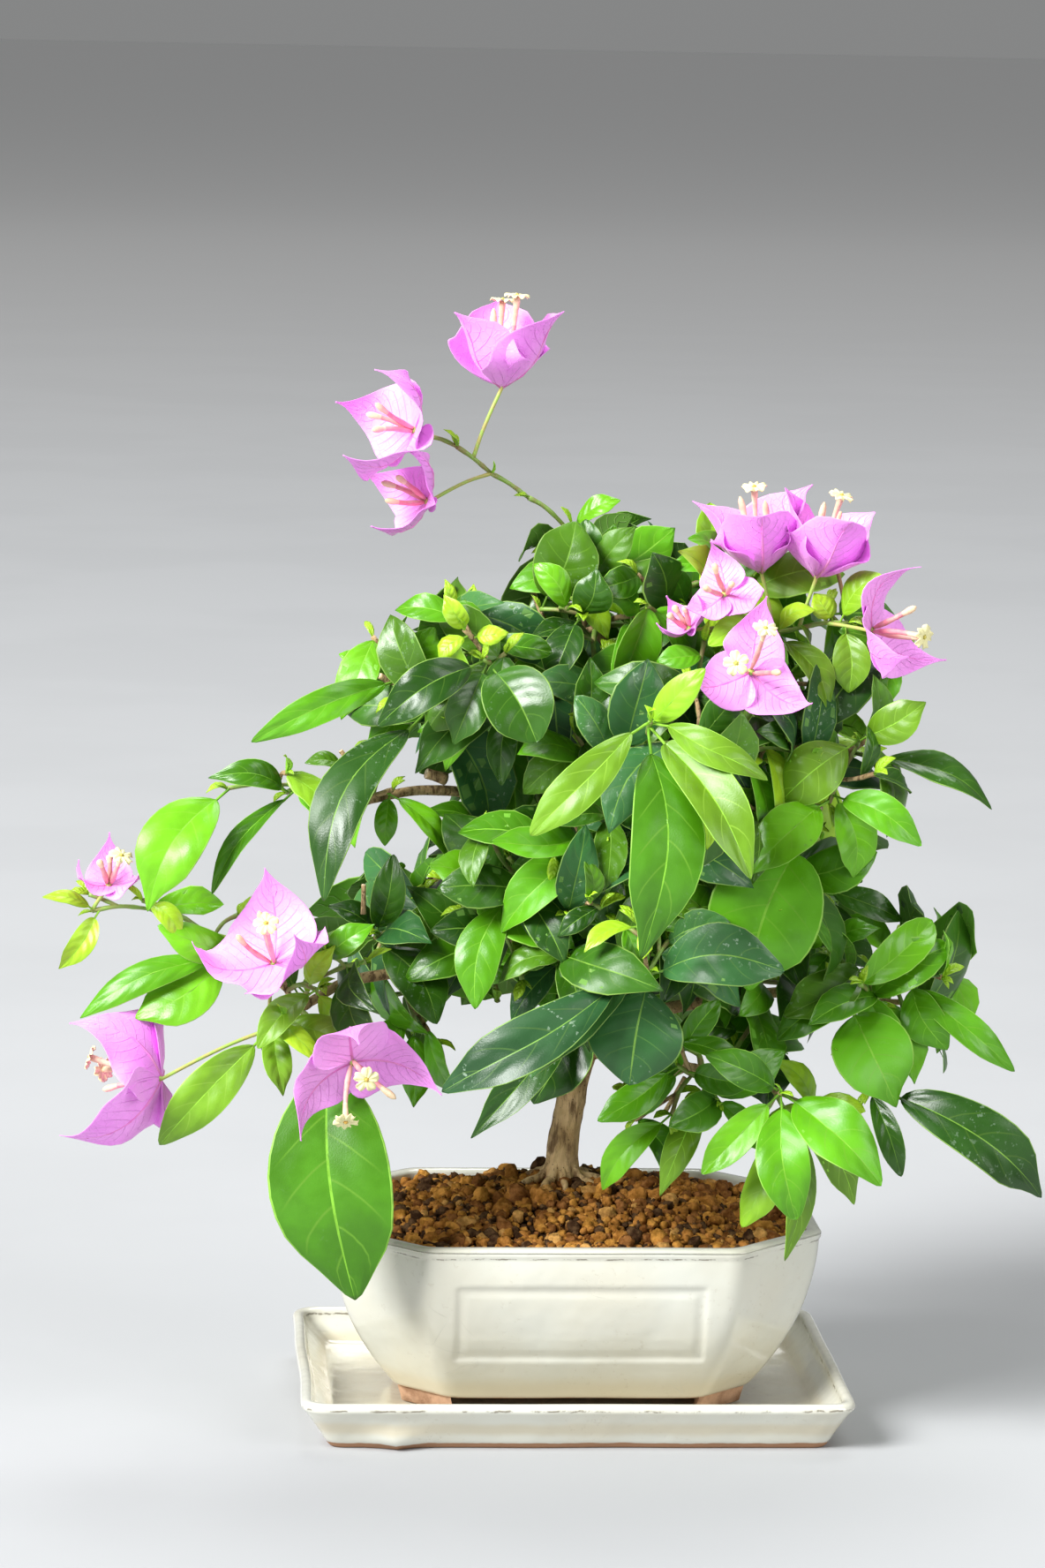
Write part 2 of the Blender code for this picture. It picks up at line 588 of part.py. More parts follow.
def make_wood(collection, helpers):
    """The trunk, then each bough cut clear of the trunk and of the boughs before it."""
    points, radii = trunk_path()
    bark = finish("trunk_bark", (0.24, 0.15, 0.08), 0.9)
    mesh = limb("trunk", points, radii, TRUNK_SIDES_RESOLUTION, 0.0, collection)
    wood = {"trunk": add_object("trunk", mesh, bark, collection)}
    for name in BOUGHS:
        path, sizes = bough_path(name)
        mesh = limb(name, path, sizes, BOUGH_SIDES_RESOLUTION, 0.0, collection)
        bark = finish("bark_" + name, (0.26, 0.18, 0.10), 0.85)
        bough = add_object("bough_" + name, mesh, bark, collection)
        spare = limb("trunk_room", points, radii, TRUNK_SIDES_RESOLUTION, CLEARANCE, helpers)
        add_object("trunk_room", spare, None, helpers)
        for other in BOUGHS:
            if other == name:
                break
            other_path, other_sizes = bough_path(other)
            if (other_path[0] - path[0]).length < other_sizes[0] + sizes[0] + 0.02:
                room = limb("bough_room", other_path, other_sizes, BOUGH_SIDES_RESOLUTION, CLEARANCE, helpers)
                add_object("bough_room", room, None, helpers)
        join_or_cut(bough, helpers, "DIFFERENCE")
        wood["bough_" + name] = bough
    return wood


class Room:
    """What already stands in the crown, so that new growth can keep clear of it."""

    def __init__(self):
        self.taken = []

    def add(self, verts, faces, owner):
        """Take up the room of one body."""
        middle = sum(verts, Vector()) / len(verts)
        reach = max((vert - middle).length for vert in verts)
        self.taken.append((middle, reach, BVHTree.FromPolygons(verts, faces), owner))

    def is_free(self, verts, faces, passes=()):
        """Whether a body would touch nothing, leaving out what it may pass through."""
        middle = sum(verts, Vector()) / len(verts)
        reach = max((vert - middle).length for vert in verts)
        tree = BVHTree.FromPolygons(verts, faces)
        for other_middle, other_reach, other, owner in self.taken:
            if owner in passes or (other_middle - middle).length > other_reach + reach:
                continue
            if tree.overlap(other):
                return False
        return True


def three_sided(points, radii, spare=0.0):
    """Rings of a three-sided twig along some points."""
    rings = []
    across = None
    for index, point in enumerate(points):
        before = points[max(index - 1, 0)]
        after = points[min(index + 1, len(points) - 1)]
        along = (after - before).normalized()
        if across is None:
            across = along.orthogonal().normalized()
        across = (across - along * across.dot(along)).normalized()
        up = along.cross(across)
        size = radii[index] + spare
        rings.append([point + (across * math.cos(turn) + up * math.sin(turn)) * size
                      for turn in (0.0, math.tau / 3, math.tau * 2 / 3)])
    return rings


def blade_rings(leaf, spare=0.0, from_petiole=0.0):
    """Rings of a leaf or bract: its petiole, its widening blade with a keel, and its tip."""
    along = leaf.tip - leaf.root
    length = along.length
    along.normalize()
    side = along.cross(leaf.normal).normalized()
    face = side.cross(along)
    keel = max(length * LEAF_KEEL, LEAF_KEEL_LEAST)
    rings = []
    for station, width in leaf.stations:
        reach = max(station, from_petiole)
        middle = leaf.root + along * (length * reach)
        middle += face * (leaf.arch * length * 4 * reach * (1 - reach))
        half = PETIOLE + (leaf.width / 2 - PETIOLE) * width + spare
        deep = PETIOLE + (keel - PETIOLE) * width + spare
        rings.append([middle - side * half + face * (PETIOLE + spare) / 2,
                      middle + side * half + face * (PETIOLE + spare) / 2,
                      middle - face * deep])
    rings.append([leaf.tip + along * spare])
    return rings


def nearest_wood(paths, target, to_tip):
    """The nearest point on a mass's twigs, with the radius there and the way it runs."""
    best = None
    for points, radii, open_end in paths:
        last = len(points) - (1 if open_end or to_tip else 2)
        for index in range(1, last + 1):
            distance = (points[index] - target).length
            if best is None or distance < best[0]:
                ahead = points[min(index + 1, len(points) - 1)] - points[max(index - 1, 0)]
                best = (distance, points[index], radii[index], ahead.normalized())
    return best[1:]


def arched_path(start, heading, end, arch, steps):
    """A twig's points: it leaves along a heading, rises a little and ends at a node."""
    span = (end - start).length
    first = start + heading * span * 0.35
    second = end - (end - first).normalized() * span * 0.3 + Vector((0, 0, arch * span))
    points = []
    for step in range(steps + 1):
        t = step / steps
        points.append(start * (1 - t) ** 3 + first * 3 * t * (1 - t) ** 2
                      + second * 3 * t ** 2 * (1 - t) + end * t ** 3)
    return points


def grow_twig(rng, paths, node, room, mass, open_end=False):
    """A twig from the mass's nearest wood to a node, or nothing where none fits."""
    start, radius, heading = nearest_wood(paths, node, False)
    reach = (node - start).length
    if reach < 0.003:
        return None
    heading = (heading * 0.5 + (node - start).normalized()).normalized()
    steps = TWIG_STEPS if reach > SHORT_TWIG else TWIG_STEPS - 1
    for attempt in range(TWIG_TRIES):
        arch = TWIG_ARCH + rng.uniform(-0.1, 0.1) * attempt
        swerve = Vector((rng.uniform(-1, 1), rng.uniform(-1, 1), rng.uniform(-1, 1))) * 0.15 * attempt
        points = arched_path(start, (heading + swerve).normalized(), node, arch, steps)
        thick = min(radius * TWIG_THIN, TWIG_TIP + reach * 0.02)
        radii = [thick + (TWIG_TIP - thick) * index / steps for index in range(steps + 1)]
        tested = loft_lists(three_sided(points, radii, CLEARANCE * 2))
        if room.is_free(*tested, passes=("wood " + mass,)):
            room.add(*loft_lists(three_sided(points, radii)), "wood " + mass)
            paths.append((points, radii, open_end))
            return points
    return None


def facing_of(node, aimed):
    """The level way a spray faces: the front for an aimed one, else away from the trunk."""
    if aimed:
        return Vector((0, -1, 0))
    away = Vector((node.x - TRUNK_FOOT[0] * MM, node.y, 0))
    return away.normalized()


def grow_leaf(rng, twig, order, size, facing, look, room, accept):
    """A leaf from a twig's end along a bearing, moved a little until it is clear, or none."""
    bearing, length, width = size
    right = Vector((-facing.y, facing.x, 0))
    step_back = (twig[-2] - twig[-1]).normalized() * LEAF_STEP * (order + 0.4)
    root = twig[-1] + step_back
    for attempt in range(LEAF_TRIES):
        loose = attempt / LEAF_TRIES
        turn = math.radians(bearing + rng.uniform(-26, 26) * loose)
        lean = math.radians(LEAF_OUT * rng.uniform(0.3, 1.4) + rng.uniform(-30, 30) * loose)
        level = right * math.sin(turn) + Vector((0, 0, math.cos(turn)))
        along = level * math.cos(lean) + facing * math.sin(lean)
        reach = length * (1 - 0.25 * loose)
        tip = twig[-1] + along * (reach / max(math.cos(lean), 0.7))
        normal = facing * 0.8 + Vector((0, 0, 0.55))
        normal += Vector((rng.uniform(-1, 1), rng.uniform(-1, 1), rng.uniform(-1, 1))) * 0.28
        along = (tip - root).normalized()
        normal = (normal - along * normal.dot(along)).normalized()
        arch = LEAF_ARCH * rng.uniform(0.4, 1.3)
        leaf = Leaf(root, tip, normal, width * (1 - 0.2 * loose), arch, *look)
        if not accept(leaf):
            continue
        tested = loft_lists(blade_rings(leaf, CLEARANCE * 2, 0.08))
        if room.is_free(*tested):
            room.add(*loft_lists(blade_rings(leaf, 0.0, 0.08)), "leaf")
            return leaf
    return None


def grow_blossom(rng, row, paths, room):
    """A stalk with three bracts round three tube flowers."""
    mass, foot, base, bearing, lean, turn, opening, length = row
    base = in_metres(base)
    start = nearest_wood(paths, in_metres(foot), True)[0]
    turn_angle = math.radians(bearing)
    level = Vector((math.sin(turn_angle), 0, math.cos(turn_angle)))
    axis = level * math.cos(math.radians(lean)) + Vector((0, -1, 0)) * math.sin(math.radians(lean))
    stalk = None
    stalk_radii = [STALK_RADIUS] * (STALK_STEPS + 1)
    for attempt in range(STALK_TRIES):
        heading = (axis * 0.4 + (base - start).normalized()).normalized()
        points = arched_path(start, heading, base, 0.04 * attempt, STALK_STEPS)
        tested = loft_lists(three_sided(points, stalk_radii, CLEARANCE * 2))
        if room.is_free(*tested, passes=("wood " + mass, "leaf " + mass)):
            stalk = points
            break
    if stalk is None:
        return None
    front = Vector((0, -1, 0)) if lean < 45 else Vector((0, 0, 1))
    first = (front - axis * front.dot(axis)).normalized()
    second = axis.cross(first)
    bracts = []
    for index in range(3):
        angle = math.radians(turn + 120 * index)
        out = first * math.cos(angle) + second * math.sin(angle)
        spread = math.radians(opening * rng.uniform(0.88, 1.12))
        along = axis * math.cos(spread) + out * math.sin(spread)
        inner = axis * math.sin(spread) - out * math.cos(spread)
        size = length * MM * rng.uniform(0.94, 1.04)
        root = base + axis * (RECEPTACLE_LENGTH * 0.5) + out * STALK_RADIUS * 0.6
        bracts.append(Leaf(root, base + along * size, inner,
                           size * BRACT_WIDTH, BRACT_CUP, "bract", BRACT_STATIONS))
    room.add(*loft_lists(three_sided(stalk, stalk_radii)), "wood " + mass)
    for bract in bracts:
        room.add(*loft_lists(blade_rings(bract)), "bract")
    return Blossom(stalk, base, axis, bracts, length * MM)


def stalk_rings(blossom):
    """A stalk that widens into the small receptacle which its bracts stand on."""
    points = blossom.stalk + [blossom.base + blossom.axis * RECEPTACLE_LENGTH]
    radii = [STALK_RADIUS] * (len(points) - 2) + [RECEPTACLE_RADIUS] * 2
    return three_sided(points, radii)


def seeded_nodes(name, rng):
    """Nodes spread evenly over the inside of a mass's space by the golden angle."""
    middle, reach, count = MASSES[name]
    offset = rng.uniform(0, 360)
    for index in range(count):
        height = 1 - 2 * (index + 0.5) / count
        ring = math.sqrt(1 - height ** 2)
        turn = math.radians(offset + GOLDEN_ANGLE * index)
        way = Vector((ring * math.cos(turn), ring * math.sin(turn), height))
        yield Vector([(middle[axis] + way[axis] * reach[axis] * 0.62) * MM for axis in range(3)])


def keeps_to_space(name):
    """A test that a seeded leaf's tip stays in its mass's space and off the soil."""
    middle, reach, _ = MASSES[name]

    def accept(leaf):
        share = [(leaf.tip[axis] / MM - middle[axis]) / reach[axis] for axis in range(3)]
        return sum(part ** 2 for part in share) < SPACE_SPARE ** 2 and leaf.tip.z > LOWEST_LEAF
    return accept


def grow_plant(room):
    """All twigs, leaves and blossoms: wood first, aimed leaves and blossoms next, then the rest."""
    wood = {}
    nodes = {name: [] for name in MASSES}
    for name in MASSES:
        path, radii = bough_path(name)
        heading = (path[-1] - path[-2]).normalized()
        start = path[-1] + heading * CLEARANCE
        stem = [start, start + heading * STEM_LENGTH / 2, start + heading * STEM_LENGTH]
        wood[name] = [(stem, [radii[-1], radii[-1] * 0.9, radii[-1] * 0.7], True)]
        room.add(*loft_lists(three_sided(stem, [radii[-1]] * 3)), "wood " + name)
    for number, name in enumerate(MASSES):
        aimed = [row for row in SPRAYS if row[0] == name]
        tip = wood[name][0][0][-1]
        aimed.sort(key=lambda row: (in_metres(row[2]) - tip).length)
        for order, (_, tone, node, leaves) in enumerate(aimed):
            rng = random.Random(SEED + 1000 * number + order)
            twig = grow_twig(rng, wood[name], in_metres(node), room, name, not leaves)
            if twig:
                nodes[name].append((twig, tone, leaves, rng))
    leaves_of = {name: [] for name in MASSES}
    blossoms_of = {name: [] for name in MASSES}
    for order, row in enumerate(BLOSSOMS):
        rng = random.Random(SEED + 500 + order)
        blossom = grow_blossom(rng, row, wood[row[0]], room)
        if blossom:
            blossoms_of[row[0]].append(blossom)
    for name in MASSES:
        for twig, tone, leaves, rng in nodes[name]:
            facing = facing_of(twig[-1], True)
            for order, (bearing, length, width) in enumerate(leaves):
                leaf = grow_leaf(rng, twig, order, (bearing, length * MM, width * MM), facing,
                                 (tone, LEAF_STATIONS), room, lambda leaf: True)
                if leaf:
                    leaves_of[name].append(leaf)
    for number, name in enumerate(MASSES):
        rng = random.Random(SEED + 1000 * number + 700)
        for order, node in enumerate(seeded_nodes(name, rng)):
            grow_seeded_spray(number, name, order, node, wood, leaves_of, room)
    for number, name in enumerate(MASSES):
        grow_side_leaves(number, name, wood[name], leaves_of[name], room)
    return wood, leaves_of, blossoms_of


def grow_seeded_spray(number, name, order, node, wood, leaves_of, room):
    """A twig to a seeded node with leaves turned round it by the golden angle."""
    rng = random.Random(SEED + 1000 * number + 100 + order)
    twig = grow_twig(rng, wood[name], node, room, name)
    if not twig:
        return
    facing = facing_of(twig[-1], False)
    tone = rng.choice(("dark", "dark", "mid", "blue", "mid", "lime"))
    start = rng.uniform(0, 360)
    accept = keeps_to_space(name)
    for index in range(SEEDED_LEAVES):
        length = rng.uniform(*SEEDED_LENGTH)
        width = length * rng.uniform(*SEEDED_SLIMNESS)
        size = (start + GOLDEN_ANGLE * index, length, width)
        leaf = grow_leaf(rng, twig, index, size, facing, (tone, PLAIN_STATIONS), room, accept)
        if leaf:
            leaves_of[name].append(leaf)


def grow_side_leaves(number, name, paths, leaves, room):
    """Leaves along the bare stretches of a mass's longer twigs."""
    accept = keeps_to_space(name)
    for order, (points, _, _) in enumerate(paths[1:]):
        rng = random.Random(SEED + 1000 * number + 300 + order)
        run = sum((after - before).length for before, after in zip(points, points[1:]))
        count = int(run / SIDE_LEAF_EVERY)
        for index in range(1, count):
            at = max(2, round(len(points) * index / count))
            twig = points[:at + 1]
            facing = facing_of(twig[-1], False)
            length = rng.uniform(*SIDE_LEAF_LENGTH)
            size = (rng.uniform(0, 360), length, length * SIDE_LEAF_SLIMNESS)
            leaf = grow_leaf(rng, twig, 0, size, facing, ("dark", PLAIN_STATIONS), room, accept)
            if leaf:
                leaves.append(leaf)


def make_mass(name, paths, leaves, blossoms, collection, helpers):
    """One mass of foliage: stem, twigs, leaves and blossoms joined into one body."""
    stem, radii, _ = paths[0]
    tone = leaves[0].tone
    leafage = finish("leaves_" + name, TONES[tone], 0.45, 0.2)
    mass = add_object("foliage_" + name, loft(three_sided(stem, radii), name), leafage, collection)
    for points, radii, _ in paths[1:]:
        add_object("twig", loft(three_sided(points, radii), "twig"), None, helpers)
    for leaf in leaves:
        add_object("leaf", loft(blade_rings(leaf), "leaf"), None, helpers)
    for blossom in blossoms:
        add_object("stalk", loft(stalk_rings(blossom), "stalk"), None, helpers)
        for bract in blossom.bracts:
            add_object("bract", loft(blade_rings(bract), "bract"), None, helpers)
    join_or_cut(mass, helpers, "UNION")
    return mass


def mesh_lists(obj):
    """The points and faces of a finished solid."""
    verts = [obj.matrix_world @ vert.co for vert in obj.data.vertices]
    faces = [tuple(face.vertices) for face in obj.data.polygons]
    return verts, faces


def main():
    """Build the whole plant."""
    clear_scene()
    bonsai = make_collection("bougainvillea_bonsai")
    helpers = make_collection("helpers")
    tray = make_tray(bonsai)
    pot = make_pot(bonsai, helpers)
    soil = make_soil(bonsai)
    limbs = make_wood(bonsai, helpers)
    room = Room()
    for name, obj in (("tray", tray), ("pot", pot), ("soil", soil), *limbs.items()):
        room.add(*mesh_lists(obj), name)
    wood, leaves, blossoms = grow_plant(room)
    for name in MASSES:
        make_mass(name, wood[name], leaves[name], blossoms[name], bonsai, helpers)


main()
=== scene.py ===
"""Looks of a bougainvillea bonsai in a glazed eight-sided pot on its drip tray.

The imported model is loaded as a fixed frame.  Twigs, leaves and blossoms grow here by the
same rule as its solids and are then carried further, to finer twigs and full leaf forms.
"""

import math
import random
from collections import namedtuple

import bmesh
import bpy
import numpy as np
from bpy.props import FloatProperty, FloatVectorProperty, IntProperty, PointerProperty
from mathutils import Matrix, Vector, noise
from mathutils.bvhtree import BVHTree


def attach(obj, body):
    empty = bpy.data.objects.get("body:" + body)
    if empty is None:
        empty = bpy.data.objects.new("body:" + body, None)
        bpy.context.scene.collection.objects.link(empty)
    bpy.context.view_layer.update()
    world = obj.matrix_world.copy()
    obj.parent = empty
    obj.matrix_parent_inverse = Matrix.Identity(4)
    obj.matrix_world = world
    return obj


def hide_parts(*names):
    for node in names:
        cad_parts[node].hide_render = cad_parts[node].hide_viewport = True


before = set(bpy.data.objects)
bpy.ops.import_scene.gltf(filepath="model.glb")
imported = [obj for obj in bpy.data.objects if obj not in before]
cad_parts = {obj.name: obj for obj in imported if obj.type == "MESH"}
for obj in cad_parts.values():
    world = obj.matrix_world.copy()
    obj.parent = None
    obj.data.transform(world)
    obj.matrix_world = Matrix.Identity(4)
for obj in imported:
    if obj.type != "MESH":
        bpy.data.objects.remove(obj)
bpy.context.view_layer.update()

bl_info = {
    "name": "Bougainvillea bonsai",
    "version": (1, 0, 0),
    "blender": (4, 5, 0),
    "location": "3D View > Sidebar > Bonsai",
    "description": "Builds the bark, leaves, blossoms, pot, tray and soil round the packed frame",
    "category": "Object",
}

MM = 0.001
CLEARANCE = 0.0003

# Drip tray
TRAY_LENGTH = 0.202
TRAY_DEPTH = 0.150
TRAY_HEIGHT = 0.0185
TRAY_SLOPE = 0.010
TRAY_FLOOR = 0.0065
TRAY_RIM = 0.0045
TRAY_CORNER = 0.011

# Pot
POT_LENGTH = 0.180
POT_DEPTH = 0.138
POT_TOP = 0.075
POT_BASE = 0.0125
POT_BASE_LENGTH = 0.131
POT_BASE_DEPTH = 0.088
POT_BELLY = 2.1
POT_WALL = 0.005
POT_CORNER_CUT = 0.033
POT_BASE_CUT = 0.019
FOOT_REACH = 0.009
FOOT_WIDTH = 0.010

# Soil
SOIL_EDGE = 0.0705
SOIL_PEAK = 0.0820
SOIL_STAND = 0.011
SOIL_LUMP = 0.0030
SOIL_LUMP_SIZE = 0.013
SOIL_FADE = 0.12

# Trunk: points in mm up its axis, with its radius at each
TRUNK_FOOT = (-3, 8)
TRUNK = (
    ((-3, 8, 82.4), 7.6), ((-3, 8, 88), 6.4), ((-2, 8, 99), 5.9), ((0, 8, 112), 5.7),
    ((1, 7, 122), 5.8), ((4, 6, 133), 5.8), ((7, 4, 145), 4.9), ((7, 2, 173), 4.5),
    ((3, 2, 204), 4.1), ((7, 4, 228), 3.7), ((11, 5, 246), 3.2),
)

# Boughs: root and tip radius in mm, then points in mm from inside the trunk to the tip
BOUGHS = {
    "low_left": (2.7, 1.8, ((7, 2, 164), (-20, -8, 165), (-50, -18, 168), (-83, -30, 166), (-99, -37, 159))),
    "arm_left": (2.6, 1.6, ((3, 2, 202), (-17, -10, 222), (-37, -22, 233), (-60, -30, 236), (-78, -34, 233))),
    "high_left": (2.6, 1.8, ((8, 4, 233), (-9, -10, 260), (-24, -24, 270), (-40, -34, 272))),
    "crown_left": (2.0, 1.5, ((11, 5, 242), (8, 8, 268), (2, 6, 295), (-1, 2, 312))),
    "crown": (2.2, 1.6, ((11, 5, 240), (15, -8, 262), (12, -16, 280), (6, -20, 291))),
    "high_right": (2.6, 1.8, ((10, 5, 240), (26, -6, 259), (40, -16, 271), (56, -24, 284))),
    "right": (2.6, 1.8, ((9, 4, 232), (36, -10, 246), (58, -22, 254), (76, -30, 253))),
    "mid_right": (2.3, 1.7, ((4, 2, 194), (30, -12, 206), (55, -26, 215))),
    "low_right": (2.8, 1.8, ((7, 5, 141), (36, -2, 151), (68, -10, 158), (92, -16, 161))),
    "hanging_right": (2.2, 1.7, ((6, 6, 133), (17, -14, 137), (30, -34, 138), (40, -44, 137))),
    "inner_left": (2.1, 1.5, ((6, 2, 178), (-20, 8, 185), (-44, 10, 182), (-60, 6, 178))),
    "middle_left": (2.0, 1.6, ((4, 2, 198), (-2, -22, 206), (-8, -42, 212))),
    "middle": (2.3, 1.6, ((7, 4, 226), (12, -28, 238), (16, -58, 250))),
    "front_low": (2.2, 1.7, ((7, 3, 154), (13, -24, 160), (18, -52, 168))),
    "back_low": (2.3, 1.7, ((6, 4, 150), (16, 30, 150), (24, 58, 144))),
    "back_left": (2.3, 1.7, ((5, 2, 186), (-22, 30, 192), (-44, 54, 190))),
    "back_middle": (2.1, 1.6, ((4, 2, 206), (6, 32, 214), (8, 58, 216))),
    "back_right": (2.3, 1.7, ((5, 2, 182), (38, 28, 192), (66, 50, 196))),
    "back_high": (2.2, 1.6, ((10, 4, 236), (20, 30, 252), (24, 54, 260))),
    "back_high_left": (2.1, 1.6, ((7, 3, 222), (-12, 28, 236), (-32, 48, 244))),
}
BOUGH_STEPS = 2

# Masses: middle and reach of each one's own space in mm, and how many seeded sprays fill it
MASSES = {
    "low_left": ((-98, -40, 168), (48, 40, 30), 2),
    "arm_left": ((-84, -36, 226), (36, 30, 24), 0),
    "high_left": ((-44, -40, 276), (40, 40, 32), 2),
    "crown_left": ((-25, -4, 345), (50, 40, 55), 0),
    "crown": ((14, -20, 300), (42, 36, 28), 3),
    "high_right": ((70, -34, 294), (44, 40, 34), 3),
    "right": ((84, -40, 250), (38, 44, 34), 3),
    "mid_right": ((70, -34, 208), (40, 44, 36), 3),
    "low_right": ((104, -20, 164), (46, 48, 34), 3),
    "hanging_right": ((58, -46, 134), (38, 40, 30), 2),
    "inner_left": ((-62, 6, 174), (38, 46, 32), 3),
    "middle_left": ((-18, -50, 212), (38, 40, 36), 2),
    "middle": ((24, -66, 246), (42, 42, 40), 2),
    "front_low": ((12, -62, 180), (40, 40, 30), 1),
    "back_low": ((34, 72, 152), (44, 44, 28), 5),
    "back_left": ((-58, 66, 168), (44, 46, 30), 5),
    "back_middle": ((6, 82, 212), (44, 40, 36), 5),
    "back_right": ((82, 60, 190), (38, 48, 40), 6),
    "back_high": ((40, 56, 276), (46, 46, 34), 6),
    "back_high_left": ((-38, 50, 260), (42, 48, 30), 5),
}

# Aimed sprays: mass, tone, node in mm, then its leaves as (bearing, length, width).
# A bearing is a clock angle as seen from the front: 0 is up and 90 is to the right.
SPRAYS = (
    ("crown_left", "mid", (-5, -5, 330), ((55, 20, 9),)),
    ("crown_left", "mid", (-21, -8, 341), ()),
    ("crown_left", "mid", (-35, -12, 350), ()),
    ("crown_left", "mid", (-48, -17, 360), ()),
    ("crown_left", "mid", (-59, -22, 364), ()),
    ("crown", "dark", (-17, -24, 302), ((20, 34, 25),)),
    ("crown", "dark", (1, -16, 312), ((355, 22, 14), (35, 25, 13), (75, 38, 14))),
    ("crown", "dark", (-4, -38, 300), ((15, 18, 15), (205, 24, 16))),
    ("crown", "mid", (20, -34, 300), ((310, 20, 13), (95, 28, 14), (205, 26, 14))),
    ("high_left", "dark", (-40, -62, 288), ((240, 42, 18), (200, 30, 17), (145, 32, 27), (295, 28, 14))),
    ("high_left", "lime", (-47, -66, 299), ((330, 14, 9), (220, 14, 8), (90, 15, 8))),
    ("high_left", "mid", (-68, -45, 279), ((250, 56, 13), (30, 22, 15))),
    ("high_left", "dark", (-60, -56, 268), ((212, 70, 20), (235, 20, 9))),
    ("high_left", "dark", (-25, -46, 272), ((195, 28, 12), (240, 44, 18))),
    ("arm_left", "mid", (-130, -50, 239), ((220, 45, 27), (75, 24, 12))),
    ("arm_left", "mid", (-109, -46, 237), ((290, 26, 12), (110, 20, 16), (222, 40, 9))),
    ("arm_left", "dark", (-87, -40, 246), ((280, 15, 8), (60, 18, 9))),
    ("arm_left", "mid", (-70, -36, 237), ((190, 20, 9), (140, 34, 11))),
    ("low_left", "mid", (-128, -50, 179), ((240, 58, 12), (228, 46, 22), (300, 27, 14))),
    ("low_left", "lime", (-178, -55, 195), ((295, 18, 7), (210, 22, 10))),
    ("low_left", "lime", (-160, -55, 199), ((130, 18, 9),)),
    ("low_left", "lime", (-114, -58, 153), ((225, 54, 19), (165, 20, 12), (100, 32, 14))),
    ("low_left", "mid", (-93, -44, 150), ((174, 86, 45),)),
    ("low_left", "lime", (-97, -56, 167), ((235, 28, 13), (130, 26, 13), (15, 16, 9))),
    ("low_left", "dark", (-110, -40, 170), ((250, 24, 15), (320, 26, 12))),
    ("inner_left", "dark", (-75, -26, 181), ((260, 24, 12), (140, 34, 20), (10, 30, 13), (300, 22, 12))),
    ("inner_left", "mid", (-58, 10, 142), ((182, 30, 12), (250, 28, 14))),
    ("middle_left", "mid", (-32, -62, 203), ((300, 28, 17), (195, 38, 17))),
    ("middle_left", "mid", (1, -70, 224), ((230, 45, 19), (275, 38, 15))),
    ("middle_left", "blue", (3, -66, 199), ((265, 32, 22),)),
    ("middle", "lime", (17, -98, 271), ((230, 56, 17), (110, 42, 14), (145, 57, 21), (182, 73, 27),
                                        (45, 28, 12))),
    ("front_low", "blue", (19, -92, 180), ((244, 82, 23), (236, 55, 20), (190, 38, 35), (82, 44, 25))),
    ("front_low", "lime", (15, -92, 198), ((250, 21, 8), (165, 13, 8), (320, 12, 7))),
    ("front_low", "dark", (-2, -48, 160), ((208, 36, 25), (225, 58, 16))),
    ("high_right", "lime", (66, -55, 297), ((215, 45, 14), (50, 16, 10), (275, 24, 12), (140, 30, 13))),
    ("high_right", "lime", (92, -50, 301), ((180, 24, 15), (35, 20, 14), (310, 18, 12))),
    ("high_right", "mid", (50, -35, 320), ((310, 18, 10), (270, 21, 8))),
    ("high_right", "dark", (34, -27, 303), ((340, 20, 12), (235, 28, 12))),
    ("right", "lime", (95, -62, 260), ((235, 34, 21), (55, 27, 15))),
    ("right", "dark", (100, -50, 253), ((105, 46, 17), (130, 22, 13))),
    ("right", "mid", (85, -65, 238), ((235, 36, 21), (110, 32, 14), (160, 28, 17))),
    ("mid_right", "mid", (77, -62, 228), ((200, 60, 41),)),
    ("mid_right", "dark", (39, -55, 215), ((175, 32, 20), (85, 22, 14))),
    ("mid_right", "dark", (89, -24, 198), ((145, 32, 14), (105, 30, 12))),
    ("low_right", "dark", (104, -45, 175), ((245, 36, 19), (85, 22, 12))),
    ("low_right", "mid", (119, -40, 169), ((150, 26, 16), (75, 20, 12), (130, 50, 13))),
    ("low_right", "mid", (94, -50, 161), ((150, 36, 31), (250, 26, 17))),
    ("low_right", "dark", (104, -55, 131), ((118, 71, 25), (160, 30, 10))),
    ("low_right", "lime", (90, -66, 146), ((295, 15, 6), (110, 12, 6))),
    ("hanging_right", "mid", (33, -60, 141), ((240, 34, 13), (220, 24, 12), (100, 26, 12))),
    ("hanging_right", "mid", (31, -66, 124), ((225, 36, 13),)),
    ("hanging_right", "lime", (43, -56, 130), ((208, 34, 12),)),
    ("hanging_right", "mid", (69, -75, 134), ((225, 40, 14), (175, 38, 20), (125, 40, 25), (300, 32, 14))),
    ("hanging_right", "lime", (74, -60, 122), ((205, 42, 15), (180, 44, 12), (145, 40, 14))),
    ("hanging_right", "dark", (62, -38, 151), ((165, 28, 20), (270, 28, 14))),
)

